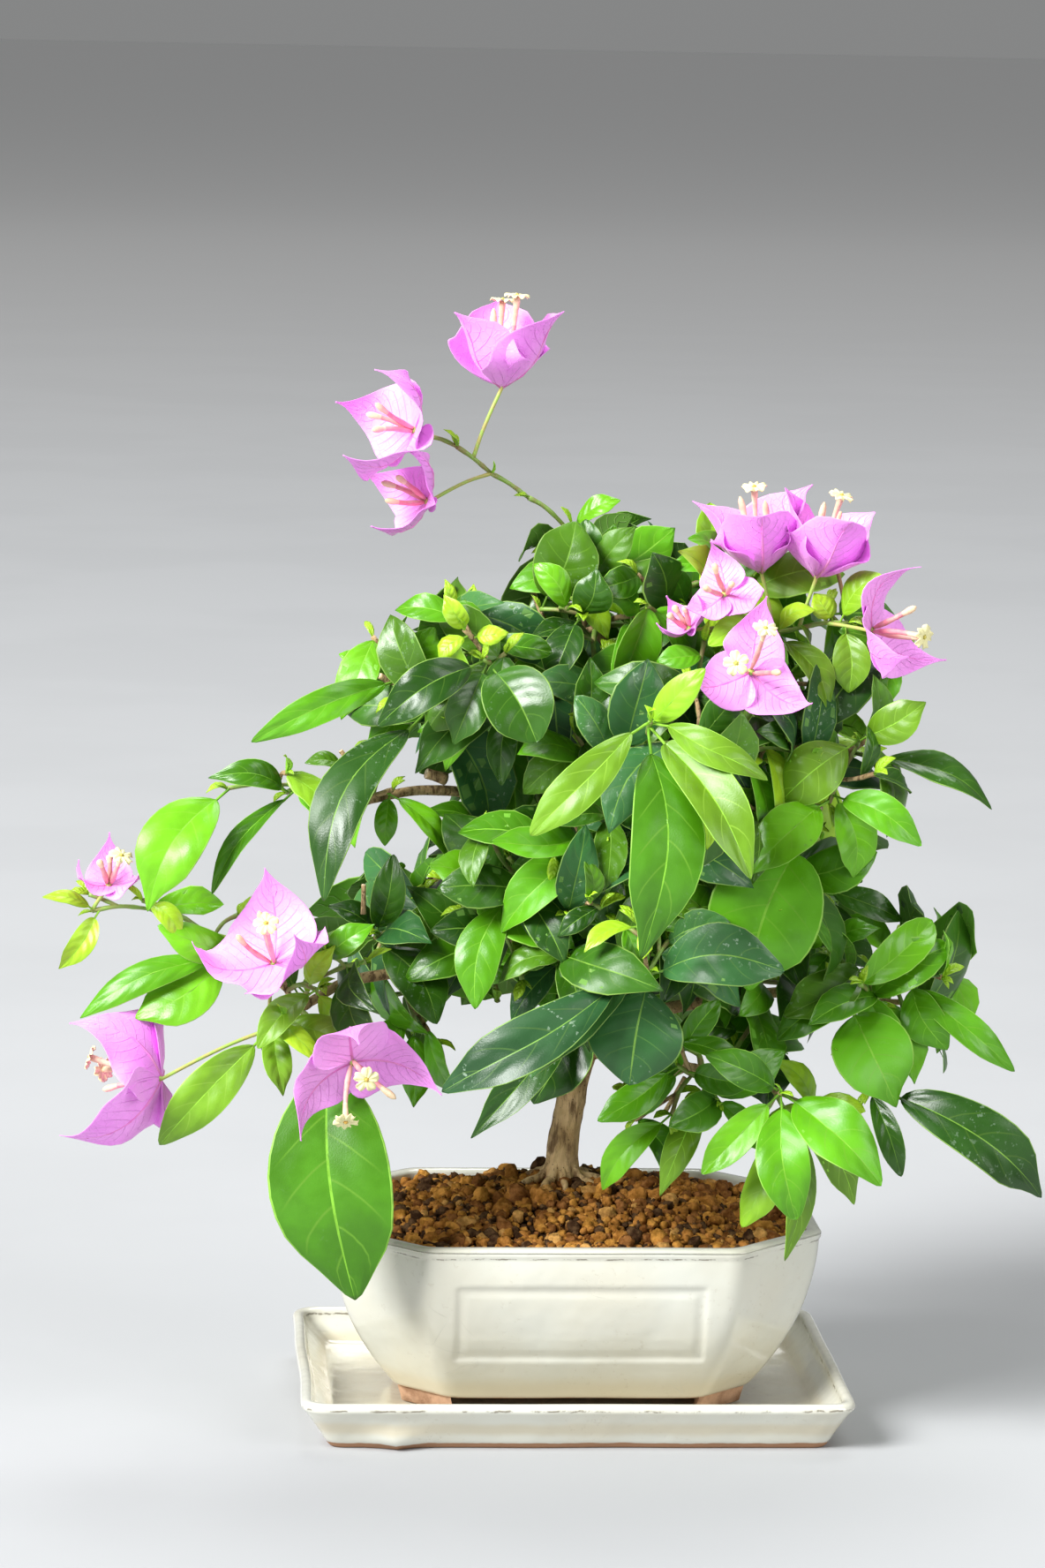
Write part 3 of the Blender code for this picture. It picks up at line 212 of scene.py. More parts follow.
# Blossoms: mass, foot of the stalk and base of the bracts in mm, then the way the mouth
# looks (bearing and lean to the front), turn of the bracts, half angle of opening, length
BLOSSOMS = (
    ("crown_left", (-37, -12, 358), (-32, -14, 381), 0, 4, 0, 34, 37),
    ("crown_left", (-56, -20, 363), (-63, -24, 366), 288, 20, 60, 36, 34),
    ("crown_left", (-38, -12, 346), (-58, -20, 340), 292, 20, 60, 38, 33),
    ("high_right", (56, -45, 302), (61, -45, 318), 352, 4, 0, 33, 36),
    ("high_right", (79, -48, 299), (80, -50, 317), 12, 4, 10, 30, 34),
    ("high_right", (52, -54, 302), (46, -64, 312), 330, 48, 20, 58, 22),
    ("high_right", (45, -50, 296), (34, -60, 299), 325, 15, 60, 38, 17),
    ("high_right", (66, -60, 296), (53, -86, 287), 15, 62, 20, 66, 33),
    ("high_right", (80, -52, 297), (98, -64, 300), 80, 30, 40, 48, 35),
    ("low_left", (-178, -55, 196), (-172, -57, 204), 0, 20, 60, 42, 20),
    ("low_left", (-115, -58, 153), (-113, -72, 179), 335, 30, 30, 38, 38),
    ("low_left", (-120, -58, 150), (-152, -64, 136), 270, 6, 30, 38, 42),
    ("low_left", (-108, -58, 153), (-85, -80, 146), 150, 56, 20, 60, 37),
)

# How twigs and leaves grow
SEED = 27
STEM_LENGTH = 0.009
TWIG_STEPS = 3
SHORT_TWIG = 0.020
TWIG_TIP = 0.0009
TWIG_THIN = 0.8
STALK_STEPS = 3
TWIG_ARCH = 0.10
TWIG_ARCH_CHANGE = 0.1
TWIG_SWERVE = 0.15
TWIG_THICKENING = 0.02
TWIG_TRIES = 9
SHORTEST_TWIG = 0.003
STALK_RADIUS = 0.0007
STALK_TRIES = 5
LEAF_STEP = 0.0022
LEAF_OUT = 24
LEAF_TRIES = 16
LEAF_SEARCH_TURN = 26
LEAF_SEARCH_LEAN = 30
LEAF_SHORTENING = 0.25
LEAF_NARROWING = 0.2
LEAF_FACE_UP = 0.55
LEAF_FACE_SCATTER = 0.28
BLADE_START = 0.08
LEAF_ARCH = 0.10
PETIOLE = 0.00045
LEAF_KEEL = 0.022
LEAF_KEEL_LEAST = 0.0006
LEAF_STATIONS = ((0.0, 0.0), (0.13, 0.0), (0.42, 1.0), (0.74, 0.62))
PLAIN_STATIONS = ((0.0, 0.0), (0.47, 1.0))
SEEDED_TONES = ("dark", "dark", "mid", "blue", "mid", "lime")
SEEDED_LEAVES = 4
SEEDED_LENGTH = (0.030, 0.047)
SEEDED_SLIMNESS = (0.42, 0.56)
SIDE_LEAF_EVERY = 0.024
SIDE_LEAF_LENGTH = (0.022, 0.036)
SIDE_LEAF_SLIMNESS = 0.5
SEED_DEPTH = 0.62
SPACE_SPARE = 1.25
LOWEST_LEAF = 0.094
GOLDEN_ANGLE = 137.5
BRACT_WIDTH = 0.74
BRACT_CUP = -0.15
BRACT_STATIONS = ((0.0, 0.0), (0.34, 1.0), (0.68, 0.72))
RECEPTACLE_RADIUS = 0.0016
RECEPTACLE_LENGTH = 0.0016

Leaf = namedtuple("Leaf", "root tip normal width arch tone stations")
Blossom = namedtuple("Blossom", "stalk base axis bracts length")


def in_metres(point):
    """A point given in mm, as a vector in metres."""
    return Vector(point) * MM


def loft_lists(rings):
    """The points and triangles of a loft, with a cap at each end that isn't a tip."""
    verts = [point for ring in rings for point in ring]
    faces = [tuple(reversed(range(len(rings[0]))))]
    start = 0
    for near, far in zip(rings, rings[1:]):
        count = len(near)
        after = start + count
        for side in range(count):
            turn = (side + 1) % count
            if len(far) == 1:
                faces.append((start + side, start + turn, after))
            else:
                faces.append((start + side, start + turn, after + turn))
                faces.append((start + side, after + turn, after + side))
        start = after
    if len(rings[-1]) > 1:
        faces.append(tuple(range(start, start + len(rings[-1]))))
    return verts, faces


def smooth_path(points, steps):
    """Points on a smooth curve through the given ones, with some steps to a span."""
    ends = [points[0] * 2 - points[1], *points, points[-1] * 2 - points[-2]]
    path = []
    for first, start, end, last in zip(ends, ends[1:], ends[2:], ends[3:]):
        for step in range(steps):
            t = step / steps
            path.append(0.5 * (2 * start + (end - first) * t
                               + (2 * first - 5 * start + 4 * end - last) * t ** 2
                               + (3 * start - first - 3 * end + last) * t ** 3))
    path.append(points[-1])
    return path


def bough_path(name):
    """A bough's points and radii in metres, from inside the trunk to its tip."""
    root, tip, points = BOUGHS[name]
    path = smooth_path([in_metres(point) for point in points], BOUGH_STEPS)
    last = len(path) - 1
    radii = [(root + (tip - root) * index / last) * MM for index in range(len(path))]
    return path, radii


class Room:
    """What already stands in the crown, so that new growth can keep clear of it."""

    def __init__(self):
        self.taken = []

    def add(self, verts, faces, owner):
        """Take up the room of one body."""
        middle = sum(verts, Vector()) / len(verts)
        reach = max((vert - middle).length for vert in verts)
        self.taken.append((middle, reach, BVHTree.FromPolygons(verts, faces), owner))

    def is_free(self, verts, faces, passes=()):
        """Whether a body would touch nothing, leaving out what it may pass through."""
        middle = sum(verts, Vector()) / len(verts)
        reach = max((vert - middle).length for vert in verts)
        tree = BVHTree.FromPolygons(verts, faces)
        for other_middle, other_reach, other, owner in self.taken:
            if owner in passes or (other_middle - middle).length > other_reach + reach:
                continue
            if tree.overlap(other):
                return False
        return True


def three_sided(points, radii, spare=0.0):
    """Rings of a three-sided twig along some points."""
    rings = []
    across = None
    for index, point in enumerate(points):
        before = points[max(index - 1, 0)]
        after = points[min(index + 1, len(points) - 1)]
        along = (after - before).normalized()
        if across is None:
            across = along.orthogonal().normalized()
        across = (across - along * across.dot(along)).normalized()
        up = along.cross(across)
        size = radii[index] + spare
        rings.append([point + (across * math.cos(turn) + up * math.sin(turn)) * size
                      for turn in (0.0, math.tau / 3, math.tau * 2 / 3)])
    return rings


def blade_rings(leaf, spare=0.0, from_petiole=0.0):
    """Rings of a leaf or bract: its petiole, its widening blade with a keel, and its tip."""
    along = leaf.tip - leaf.root
    length = along.length
    along.normalize()
    side = along.cross(leaf.normal).normalized()
    face = side.cross(along)
    keel = max(length * LEAF_KEEL, LEAF_KEEL_LEAST)
    rings = []
    for station, width in leaf.stations:
        reach = max(station, from_petiole)
        middle = leaf.root + along * (length * reach)
        middle += face * (leaf.arch * length * 4 * reach * (1 - reach))
        half = PETIOLE + (leaf.width / 2 - PETIOLE) * width + spare
        deep = PETIOLE + (keel - PETIOLE) * width + spare
        rings.append([middle - side * half + face * (PETIOLE + spare) / 2,
                      middle + side * half + face * (PETIOLE + spare) / 2,
                      middle - face * deep])
    rings.append([leaf.tip + along * spare])
    return rings


def any_way(rng):
    """A vector whose three parts each lie by chance between -1 and 1."""
    return Vector((rng.uniform(-1, 1), rng.uniform(-1, 1), rng.uniform(-1, 1)))


def turned(degrees, axis):
    """The matrix of a turn about an axis."""
    return Matrix.Rotation(math.radians(degrees), 3, axis)


def nearest_wood(paths, target, to_tip):
    """The nearest point on a mass's twigs, with the radius there and the way it runs."""
    best = None
    for points, radii, open_end in paths:
        last = len(points) - (1 if open_end or to_tip else 2)
        for index in range(1, last + 1):
            distance = (points[index] - target).length
            if best is None or distance < best[0]:
                ahead = points[min(index + 1, len(points) - 1)] - points[max(index - 1, 0)]
                best = (distance, points[index], radii[index], ahead.normalized())
    return best[1:]


def arched_path(start, heading, end, arch, steps):
    """A twig's points: it leaves along a heading, rises a little and ends at a node."""
    span = (end - start).length
    first = start + heading * span * 0.35
    second = end - (end - first).normalized() * span * 0.3 + Vector((0, 0, arch * span))
    points = []
    for step in range(steps + 1):
        t = step / steps
        points.append(start * (1 - t) ** 3 + first * 3 * t * (1 - t) ** 2
                      + second * 3 * t ** 2 * (1 - t) + end * t ** 3)
    return points


def grow_twig(rng, paths, node, room, mass, open_end=False):
    """A twig from the mass's nearest wood to a node, or nothing where none fits."""
    start, radius, heading = nearest_wood(paths, node, False)
    reach = (node - start).length
    if reach < SHORTEST_TWIG:
        return None
    heading = (heading * 0.5 + (node - start).normalized()).normalized()
    steps = TWIG_STEPS if reach > SHORT_TWIG else TWIG_STEPS - 1
    for attempt in range(TWIG_TRIES):
        arch = TWIG_ARCH + rng.uniform(-TWIG_ARCH_CHANGE, TWIG_ARCH_CHANGE) * attempt
        swerve = any_way(rng) * TWIG_SWERVE * attempt
        points = arched_path(start, (heading + swerve).normalized(), node, arch, steps)
        thick = min(radius * TWIG_THIN, TWIG_TIP + reach * TWIG_THICKENING)
        radii = [thick + (TWIG_TIP - thick) * index / steps for index in range(steps + 1)]
        tested = loft_lists(three_sided(points, radii, CLEARANCE * 2))
        if room.is_free(*tested, passes=("wood " + mass,)):
            room.add(*loft_lists(three_sided(points, radii)), "wood " + mass)
            paths.append((points, radii, open_end))
            return points
    return None


def facing_of(node, aimed):
    """The level way a spray faces: the front for an aimed one, else away from the trunk."""
    if aimed:
        return Vector((0, -1, 0))
    away = Vector((node.x - TRUNK_FOOT[0] * MM, node.y, 0))
    return away.normalized()


def grow_leaf(rng, twig, order, size, facing, look, room, accept):
    """A leaf from a twig's end along a bearing, moved a little until it is clear, or none."""
    bearing, length, width = size
    right = Vector((-facing.y, facing.x, 0))
    step_back = (twig[-2] - twig[-1]).normalized() * LEAF_STEP * (order + 0.4)
    root = twig[-1] + step_back
    for attempt in range(LEAF_TRIES):
        loose = attempt / LEAF_TRIES
        turn = math.radians(bearing + rng.uniform(-LEAF_SEARCH_TURN, LEAF_SEARCH_TURN) * loose)
        lean = math.radians(LEAF_OUT * rng.uniform(0.3, 1.4)
                            + rng.uniform(-LEAF_SEARCH_LEAN, LEAF_SEARCH_LEAN) * loose)
        level = right * math.sin(turn) + Vector((0, 0, math.cos(turn)))
        along = level * math.cos(lean) + facing * math.sin(lean)
        reach = length * (1 - LEAF_SHORTENING * loose)
        tip = twig[-1] + along * (reach / max(math.cos(lean), 0.7))
        normal = facing * 0.8 + Vector((0, 0, LEAF_FACE_UP)) + any_way(rng) * LEAF_FACE_SCATTER
        along = (tip - root).normalized()
        normal = (normal - along * normal.dot(along)).normalized()
        arch = LEAF_ARCH * rng.uniform(0.4, 1.3)
        leaf = Leaf(root, tip, normal, width * (1 - LEAF_NARROWING * loose), arch, *look)
        if not accept(leaf):
            continue
        tested = loft_lists(blade_rings(leaf, CLEARANCE * 2, BLADE_START))
        if room.is_free(*tested):
            room.add(*loft_lists(blade_rings(leaf, 0.0, BLADE_START)), "leaf")
            return leaf
    return None


def grow_ring(rng, twig, facing, tones, count, lengths, slimness, room, accept, leaves):
    """Leaves of one tone, turned round a twig's end by the golden angle."""
    tone = rng.choice(tones)
    start = rng.uniform(0, 360)
    for index in range(count):
        length = rng.uniform(*lengths)
        width = length * rng.uniform(*slimness)
        size = (start + GOLDEN_ANGLE * index, length, width)
        leaf = grow_leaf(rng, twig, index, size, facing, (tone, PLAIN_STATIONS), room, accept)
        if leaf:
            leaves.append(leaf)


def grow_blossom(rng, row, paths, room):
    """A stalk with three bracts round three tube flowers."""
    mass, foot, base, bearing, lean, turn, opening, length = row
    base = in_metres(base)
    start = nearest_wood(paths, in_metres(foot), True)[0]
    turn_angle = math.radians(bearing)
    level = Vector((math.sin(turn_angle), 0, math.cos(turn_angle)))
    axis = level * math.cos(math.radians(lean)) + Vector((0, -1, 0)) * math.sin(math.radians(lean))
    stalk = None
    stalk_radii = [STALK_RADIUS] * (STALK_STEPS + 1)
    for attempt in range(STALK_TRIES):
        heading = (axis * 0.4 + (base - start).normalized()).normalized()
        points = arched_path(start, heading, base, 0.04 * attempt, STALK_STEPS)
        tested = loft_lists(three_sided(points, stalk_radii, CLEARANCE * 2))
        if room.is_free(*tested, passes=("wood " + mass, "leaf " + mass)):
            stalk = points
            break
    if stalk is None:
        return None
    front = Vector((0, -1, 0)) if lean < 45 else Vector((0, 0, 1))
    first = (front - axis * front.dot(axis)).normalized()
    second = axis.cross(first)
    bracts = []
    for index in range(3):
        angle = math.radians(turn + 120 * index)
        out = first * math.cos(angle) + second * math.sin(angle)
        spread = math.radians(opening * rng.uniform(0.88, 1.12))
        along = axis * math.cos(spread) + out * math.sin(spread)
        inner = axis * math.sin(spread) - out * math.cos(spread)
        size = length * MM * rng.uniform(0.94, 1.04)
        root = base + axis * (RECEPTACLE_LENGTH * 0.5) + out * STALK_RADIUS * 0.6
        bracts.append(Leaf(root, base + along * size, inner,
                           size * BRACT_WIDTH, BRACT_CUP, "bract", BRACT_STATIONS))
    room.add(*loft_lists(three_sided(stalk, stalk_radii)), "wood " + mass)
    for bract in bracts:
        room.add(*loft_lists(blade_rings(bract)), "bract")
    return Blossom(stalk, base, axis, bracts, length * MM)


def seeded_nodes(name, rng):
    """Nodes spread evenly over the inside of a mass's space by the golden angle."""
    middle, reach, count = MASSES[name]
    offset = rng.uniform(0, 360)
    for index in range(count):
        height = 1 - 2 * (index + 0.5) / count
        ring = math.sqrt(1 - height ** 2)
        turn = math.radians(offset + GOLDEN_ANGLE * index)
        way = Vector((ring * math.cos(turn), ring * math.sin(turn), height))
        yield Vector([(middle[axis] + way[axis] * reach[axis] * SEED_DEPTH) * MM for axis in range(3)])


def keeps_to_space(name):
    """A test that a seeded leaf's tip stays in its mass's space and off the soil."""
    middle, reach, _ = MASSES[name]

    def accept(leaf):
        share = [(leaf.tip[axis] / MM - middle[axis]) / reach[axis] for axis in range(3)]
        return sum(part ** 2 for part in share) < SPACE_SPARE ** 2 and leaf.tip.z > LOWEST_LEAF
    return accept


def grow_plant(room):
    """All twigs, leaves and blossoms: wood first, aimed leaves and blossoms next, then the rest."""
    wood = {}
    nodes = {name: [] for name in MASSES}
    for name in MASSES:
        path, radii = bough_path(name)
        heading = (path[-1] - path[-2]).normalized()
        start = path[-1] + heading * CLEARANCE
        stem = [start, start + heading * STEM_LENGTH / 2, start + heading * STEM_LENGTH]
        wood[name] = [(stem, [radii[-1], radii[-1] * 0.9, radii[-1] * 0.7], True)]
        room.add(*loft_lists(three_sided(stem, [radii[-1]] * 3)), "wood " + name)
    for number, name in enumerate(MASSES):
        aimed = [row for row in SPRAYS if row[0] == name]
        tip = wood[name][0][0][-1]
        aimed.sort(key=lambda row: (in_metres(row[2]) - tip).length)
        for order, (_, tone, node, leaves) in enumerate(aimed):
            rng = random.Random(SEED + 1000 * number + order)
            twig = grow_twig(rng, wood[name], in_metres(node), room, name, not leaves)
            if twig:
                nodes[name].append((twig, tone, leaves, rng))
    leaves_of = {name: [] for name in MASSES}
    blossoms_of = {name: [] for name in MASSES}
    for order, row in enumerate(BLOSSOMS):
        rng = random.Random(SEED + 500 + order)
        blossom = grow_blossom(rng, row, wood[row[0]], room)
        if blossom:
            blossoms_of[row[0]].append(blossom)
    for name in MASSES:
        for twig, tone, leaves, rng in nodes[name]:
            facing = facing_of(twig[-1], True)
            for order, (bearing, length, width) in enumerate(leaves):
                leaf = grow_leaf(rng, twig, order, (bearing, length * MM, width * MM), facing,
                                 (tone, LEAF_STATIONS), room, lambda leaf: True)
                if leaf:
                    leaves_of[name].append(leaf)
    for number, name in enumerate(MASSES):
        rng = random.Random(SEED + 1000 * number + 700)
        for order, node in enumerate(seeded_nodes(name, rng)):
            grow_seeded_spray(number, name, order, node, wood, leaves_of, room)
    for number, name in enumerate(MASSES):
        grow_side_leaves(number, name, wood[name], leaves_of[name], room)
    return wood, leaves_of, blossoms_of


def grow_seeded_spray(number, name, order, node, wood, leaves_of, room):
    """A twig to a seeded node with leaves turned round it by the golden angle."""
    rng = random.Random(SEED + 1000 * number + 100 + order)
    twig = grow_twig(rng, wood[name], node, room, name)
    if twig:
        grow_ring(rng, twig, facing_of(twig[-1], False), SEEDED_TONES, SEEDED_LEAVES, SEEDED_LENGTH,
                  SEEDED_SLIMNESS, room, keeps_to_space(name), leaves_of[name])


def grow_side_leaves(number, name, paths, leaves, room):
    """Leaves along the bare stretches of a mass's longer twigs."""
    accept = keeps_to_space(name)
    for order, (points, _, _) in enumerate(paths[1:]):
        rng = random.Random(SEED + 1000 * number + 300 + order)
        run = sum((after - before).length for before, after in zip(points, points[1:]))
        count = int(run / SIDE_LEAF_EVERY)
        for index in range(1, count):
            at = max(2, round(len(points) * index / count))
            twig = points[:at + 1]
            facing = facing_of(twig[-1], False)
            length = rng.uniform(*SIDE_LEAF_LENGTH)
            size = (rng.uniform(0, 360), length, length * SIDE_LEAF_SLIMNESS)
            leaf = grow_leaf(rng, twig, 0, size, facing, ("dark", PLAIN_STATIONS), room, accept)
            if leaf:
                leaves.append(leaf)


# ---------------------------------------------------------------- settings

class LeafSettings(bpy.types.PropertyGroup):
    """Sizes and colours of the leaves."""
    thickness: FloatProperty(name="Thickness", description="Thickness of a leaf beside its midrib",
                             default=0.00032, subtype="DISTANCE", unit="LENGTH")
    wave: FloatProperty(name="Edge wave", description="Height of the edge's wave against the half width",
                        default=0.13, subtype="FACTOR")
    dark: FloatVectorProperty(name="Dark leaf", description="Colour of old leaves", size=3,
                              default=(0.010, 0.096, 0.004), subtype="COLOR")
    blue: FloatVectorProperty(name="Bluish leaf", description="Colour of dusty old leaves", size=3,
                              default=(0.019, 0.112, 0.029), subtype="COLOR")
    mid: FloatVectorProperty(name="Green leaf", description="Colour of grown leaves", size=3,
                             default=(0.076, 0.320, 0.003), subtype="COLOR")
    lime: FloatVectorProperty(name="Young leaf", description="Colour of young leaves", size=3,
                              default=(0.195, 0.480, 0.018), subtype="COLOR")
    fine_twigs: IntProperty(name="Finer twigs", description="Finer twigs tried on each mass", default=9)


class BlossomSettings(bpy.types.PropertyGroup):
    """Sizes and colours of the blossoms."""
    bract: FloatVectorProperty(name="Bract", description="Colour of the papery bracts", size=3,
                               default=(1.0, 0.27, 1.0), subtype="COLOR")
    inside: FloatVectorProperty(name="Bract inside", description="Paler colour of a bract's inner side",
                                size=3, default=(1.0, 0.35, 0.98), subtype="COLOR")
    star: FloatVectorProperty(name="Star", description="Colour of the flower's open star", size=3,
                              default=(0.90, 0.84, 0.45), subtype="COLOR")
    star_radius: FloatProperty(name="Star radius", description="Radius of an open flower's star",
                               default=0.0049, subtype="DISTANCE", unit="LENGTH")
    thickness: FloatProperty(name="Thickness", description="Thickness of a bract",
                             default=0.0002, subtype="DISTANCE", unit="LENGTH")


class WoodSettings(bpy.types.PropertyGroup):
    """Relief and colours of the bark."""
    relief: FloatProperty(name="Relief", description="Depth of the bark's furrows against the radius",
                          default=0.10, subtype="FACTOR")
    bark: FloatVectorProperty(name="Bark", description="Colour of the bark", size=3,
                              default=(0.60, 0.40, 0.17), subtype="COLOR")
    furrow: FloatVectorProperty(name="Furrow", description="Colour in the bark's furrows", size=3,
                                default=(0.19, 0.11, 0.045), subtype="COLOR")


class CeramicSettings(bpy.types.PropertyGroup):
    """Sizes and colours of the pot and the tray."""
    glaze: FloatVectorProperty(name="Glaze", description="Colour of the glaze", size=3,
                               default=(0.665, 0.67, 0.59), subtype="COLOR")
    pooled: FloatVectorProperty(name="Pooled glaze", description="Colour of thick glaze", size=3,
                                default=(0.58, 0.50, 0.33), subtype="COLOR")
    clay: FloatVectorProperty(name="Clay", description="Colour of the bare stoneware", size=3,
                              default=(0.36, 0.19, 0.10), subtype="COLOR")
    panel_depth: FloatProperty(name="Panel depth", description="Depth of the framed panel",
                               default=0.0009, subtype="DISTANCE", unit="LENGTH")


class SoilSettings(bpy.types.PropertyGroup):
    """Sizes of the soil's grains."""
    grain: FloatProperty(name="Grain", description="Radius of a common grain",
                         default=0.0020, subtype="DISTANCE", unit="LENGTH")
    spacing: FloatProperty(name="Spacing", description="Distance between grains",
                           default=0.0033, subtype="DISTANCE", unit="LENGTH")


class StageSettings(bpy.types.PropertyGroup):
    """The floor and the lights."""
    floor: FloatVectorProperty(name="Floor", description="Colour of the floor", size=3,
                               default=(0.44, 0.45, 0.46), subtype="COLOR")
    # Paler floor colour far off: painted light where the lamps' light falls off
    floor_far_painted_light: FloatVectorProperty(name="Far floor", description="Colour of the floor a long way off", size=3,
                                   default=(0.93, 0.93, 0.93), subtype="COLOR")
    key: FloatProperty(name="Key light", description="Power of the key light in watts", default=930.0)
    fill: FloatProperty(name="Fill light", description="Power of the fill light in watts", default=150.0)


# ---------------------------------------------------------------- meshes

LeafForm = namedtuple("LeafForm", "petiole fold cup wave phase waves sway curl twist tip base point")


class Sheaf:
    """The faces of many small forms, gathered to be one piece."""

    def __init__(self, *looks):
        self.looks = {look: index for index, look in enumerate(looks)}
        self.verts = []
        self.quads = []
        self.quad_looks = []
        self.tris = []
        self.tri_looks = []
        self.uvs = []
        self.count = 0

    def take(self, verts, quads, quad_looks, tris=None, tri_looks=None, uvs=None):
        """Take up a form's points and faces; looks are indices of its finishes."""
        verts = np.asarray(verts, float).reshape(-1, 3)
        self.verts.append(verts)
        self.quads.append(np.asarray(quads, int).reshape(-1, 4) + self.count)
        self.quad_looks.append(np.asarray(quad_looks, int))
        if tris is not None:
            self.tris.append(np.asarray(tris, int).reshape(-1, 3) + self.count)
            self.tri_looks.append(np.asarray(tri_looks, int))
        self.uvs.append(np.zeros((len(verts), 2)) if uvs is None else np.asarray(uvs, float))
        self.count += len(verts)

    def loft(self, rings, looks, near_look=None, far_look=None, ring_uvs=None):
        """Take up a loft through rings of points, closed by a fan at each end."""
        steps, around = rings.shape[:2]
        side = np.arange(around)
        turn = (side + 1) % around
        rows = np.arange(steps - 1)[:, None] * around
        quads = np.stack([rows + side, rows + turn, rows + around + turn, rows + around + side], -1)
        looks = np.broadcast_to(np.asarray(looks), (steps - 1, around)).ravel()
        ends = np.stack([rings[0].mean(0), rings[-1].mean(0)])
        verts = np.concatenate([rings.reshape(-1, 3), ends])
        near = steps * around
        last = (steps - 1) * around
        tris = np.concatenate([
            np.stack([turn, side, np.full(around, near)], -1),
            np.stack([last + side, last + turn, np.full(around, near + 1)], -1)])
        near_look = looks[0] if near_look is None else near_look
        far_look = looks[-1] if far_look is None else far_look
        tri_looks = np.repeat([near_look, far_look], around)
        if ring_uvs is None:
            ring_uvs = np.stack(np.meshgrid(side / around, np.arange(steps) / max(steps - 1, 1)), -1)
        flat = ring_uvs.reshape(-1, 2)
        uvs = np.concatenate([flat, flat[:1], flat[-1:]])
        self.take(verts, quads, looks, tris, tri_looks, uvs)

    def piece(self, name, finishes, nodes):
        """Make the gathered faces one object that rides on the root and replaces some nodes."""
        verts = np.concatenate(self.verts)
        quads = np.concatenate(self.quads)
        tris = np.concatenate(self.tris) if self.tris else np.zeros((0, 3), int)
        tri_looks = self.tri_looks or [np.zeros(0, int)]
        loops = np.concatenate([quads.ravel(), tris.ravel()])
        starts = np.concatenate([np.arange(len(quads)) * 4, len(quads) * 4 + np.arange(len(tris)) * 3])
        mesh = bpy.data.meshes.new(name)
        mesh.vertices.add(len(verts))
        mesh.vertices.foreach_set("co", verts.ravel().astype(np.float32))
        mesh.loops.add(len(loops))
        mesh.loops.foreach_set("vertex_index", loops.astype(np.int32))
        mesh.polygons.add(len(starts))
        mesh.polygons.foreach_set("loop_start", starts.astype(np.int32))
        looks = np.concatenate([*self.quad_looks, *tri_looks]).astype(np.int32)
        mesh.polygons.foreach_set("material_index", looks)
        mesh.polygons.foreach_set("use_smooth", np.full(len(starts), True))
        layer = mesh.uv_layers.new(name="Form")
        layer.data.foreach_set("uv", np.concatenate(self.uvs)[loops].ravel().astype(np.float32))
        mesh.update(calc_edges=True)
        mesh.validate()
        for look in self.looks:
            mesh.materials.append(finishes[look])
        obj = bpy.data.objects.new(name, mesh)
        bpy.context.scene.collection.objects.link(obj)
        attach(obj, "root")
        if nodes:
            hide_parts(*nodes)
        return obj


def soft_step(value, start, end):
    """0 before start, 1 after end, and smooth between."""
    share = np.clip((value - start) / (end - start), 0, 1)
    return share * share * (3 - 2 * share)


def unit(vector):
    """A numpy vector or row of vectors at length one."""
    return vector / np.maximum(np.linalg.norm(vector, axis=-1, keepdims=True), 1e-12)


def tube_rings(points, radii, sides):
    """Rings of a round limb along some points, with no twist."""
    points = np.array([tuple(point) for point in points])
    heads = unit(np.gradient(points, axis=0))
    across = unit(np.cross(heads[0], (0.31, 0.57, 0.76)))
    turns = np.arange(sides) * math.tau / sides
    rings = []
    for point, head, radius in zip(points, heads, radii):
        across = unit(across - head * np.dot(across, head))
        up = np.cross(head, across)
        ring = np.cos(turns)[:, None] * across + np.sin(turns)[:, None] * up
        rings.append(point + ring * np.asarray(radius).reshape(-1, 1))
    return np.array(rings)


def run_length(points):
    """Length along some points up to each of them."""
    points = np.array([tuple(point) for point in points])
    return np.concatenate([[0.0], np.cumsum(np.linalg.norm(np.diff(points, axis=0), axis=1))])


# Rows along a blade and points across its upper and lower sides, by how near it is looked at
FINE_BLADE = (
    np.array((0, .02, .06, .12, .2, .28, .37, .46, .55, .64, .73, .81, .88, .94, .98, 1.0)),
    np.array((-1, -.965, -.66, -.33, -.022, .022, .33, .66, .965, 1)),
    np.array((1, .965, .66, .33, 0, -.33, -.66, -.965, -1)),
)
PLAIN_BLADE = (
    np.array((0, .04, .12, .25, .4, .56, .71, .84, .94, 1.0)),
    np.array((-1, -.95, -.5, -.028, .028, .5, .95, 1)),
    np.array((1, .95, .5, 0, -.5, -.95, -1)),
)
SMALL_BLADE = (
    np.array((0, .08, .27, .5, .73, .92, 1.0)),
    np.array((-1, -.5, 0, .5, 1)),
    np.array((1, .5, 0, -.5, -1)),
)
SMALL_LENGTH = 0.015
RIB_WITHIN = 0.05
MARGIN_BEYOND = 0.96
BIG_LEAF = 0.072
LONG_YOUNG_LEAF = 0.045
SHORT_YOUNG_LEAF = 0.024
BLADE_THICKNESS = 0.0075
BLADE_ARCH = 1.5
CURL_AFTER = 0.55
AIMED_PETIOLE, PLAIN_PETIOLE, STREWN_PETIOLE = 0.16, 0.11, 0.02
FINE_RIBS = (0.0, 0.15, 0.4, 0.65, 0.88)
PLAIN_RIBS = (0.0, 0.3, 0.8)


def blade_frame(leaf):
    """A blade's length, the way it runs, its side and its face, as numpy vectors."""
    run = np.array(leaf.tip - leaf.root)
    length = float(np.linalg.norm(run))
    run = run / length
    side = unit(np.cross(run, np.array(leaf.normal)))
    return length, run, side, np.cross(side, run)


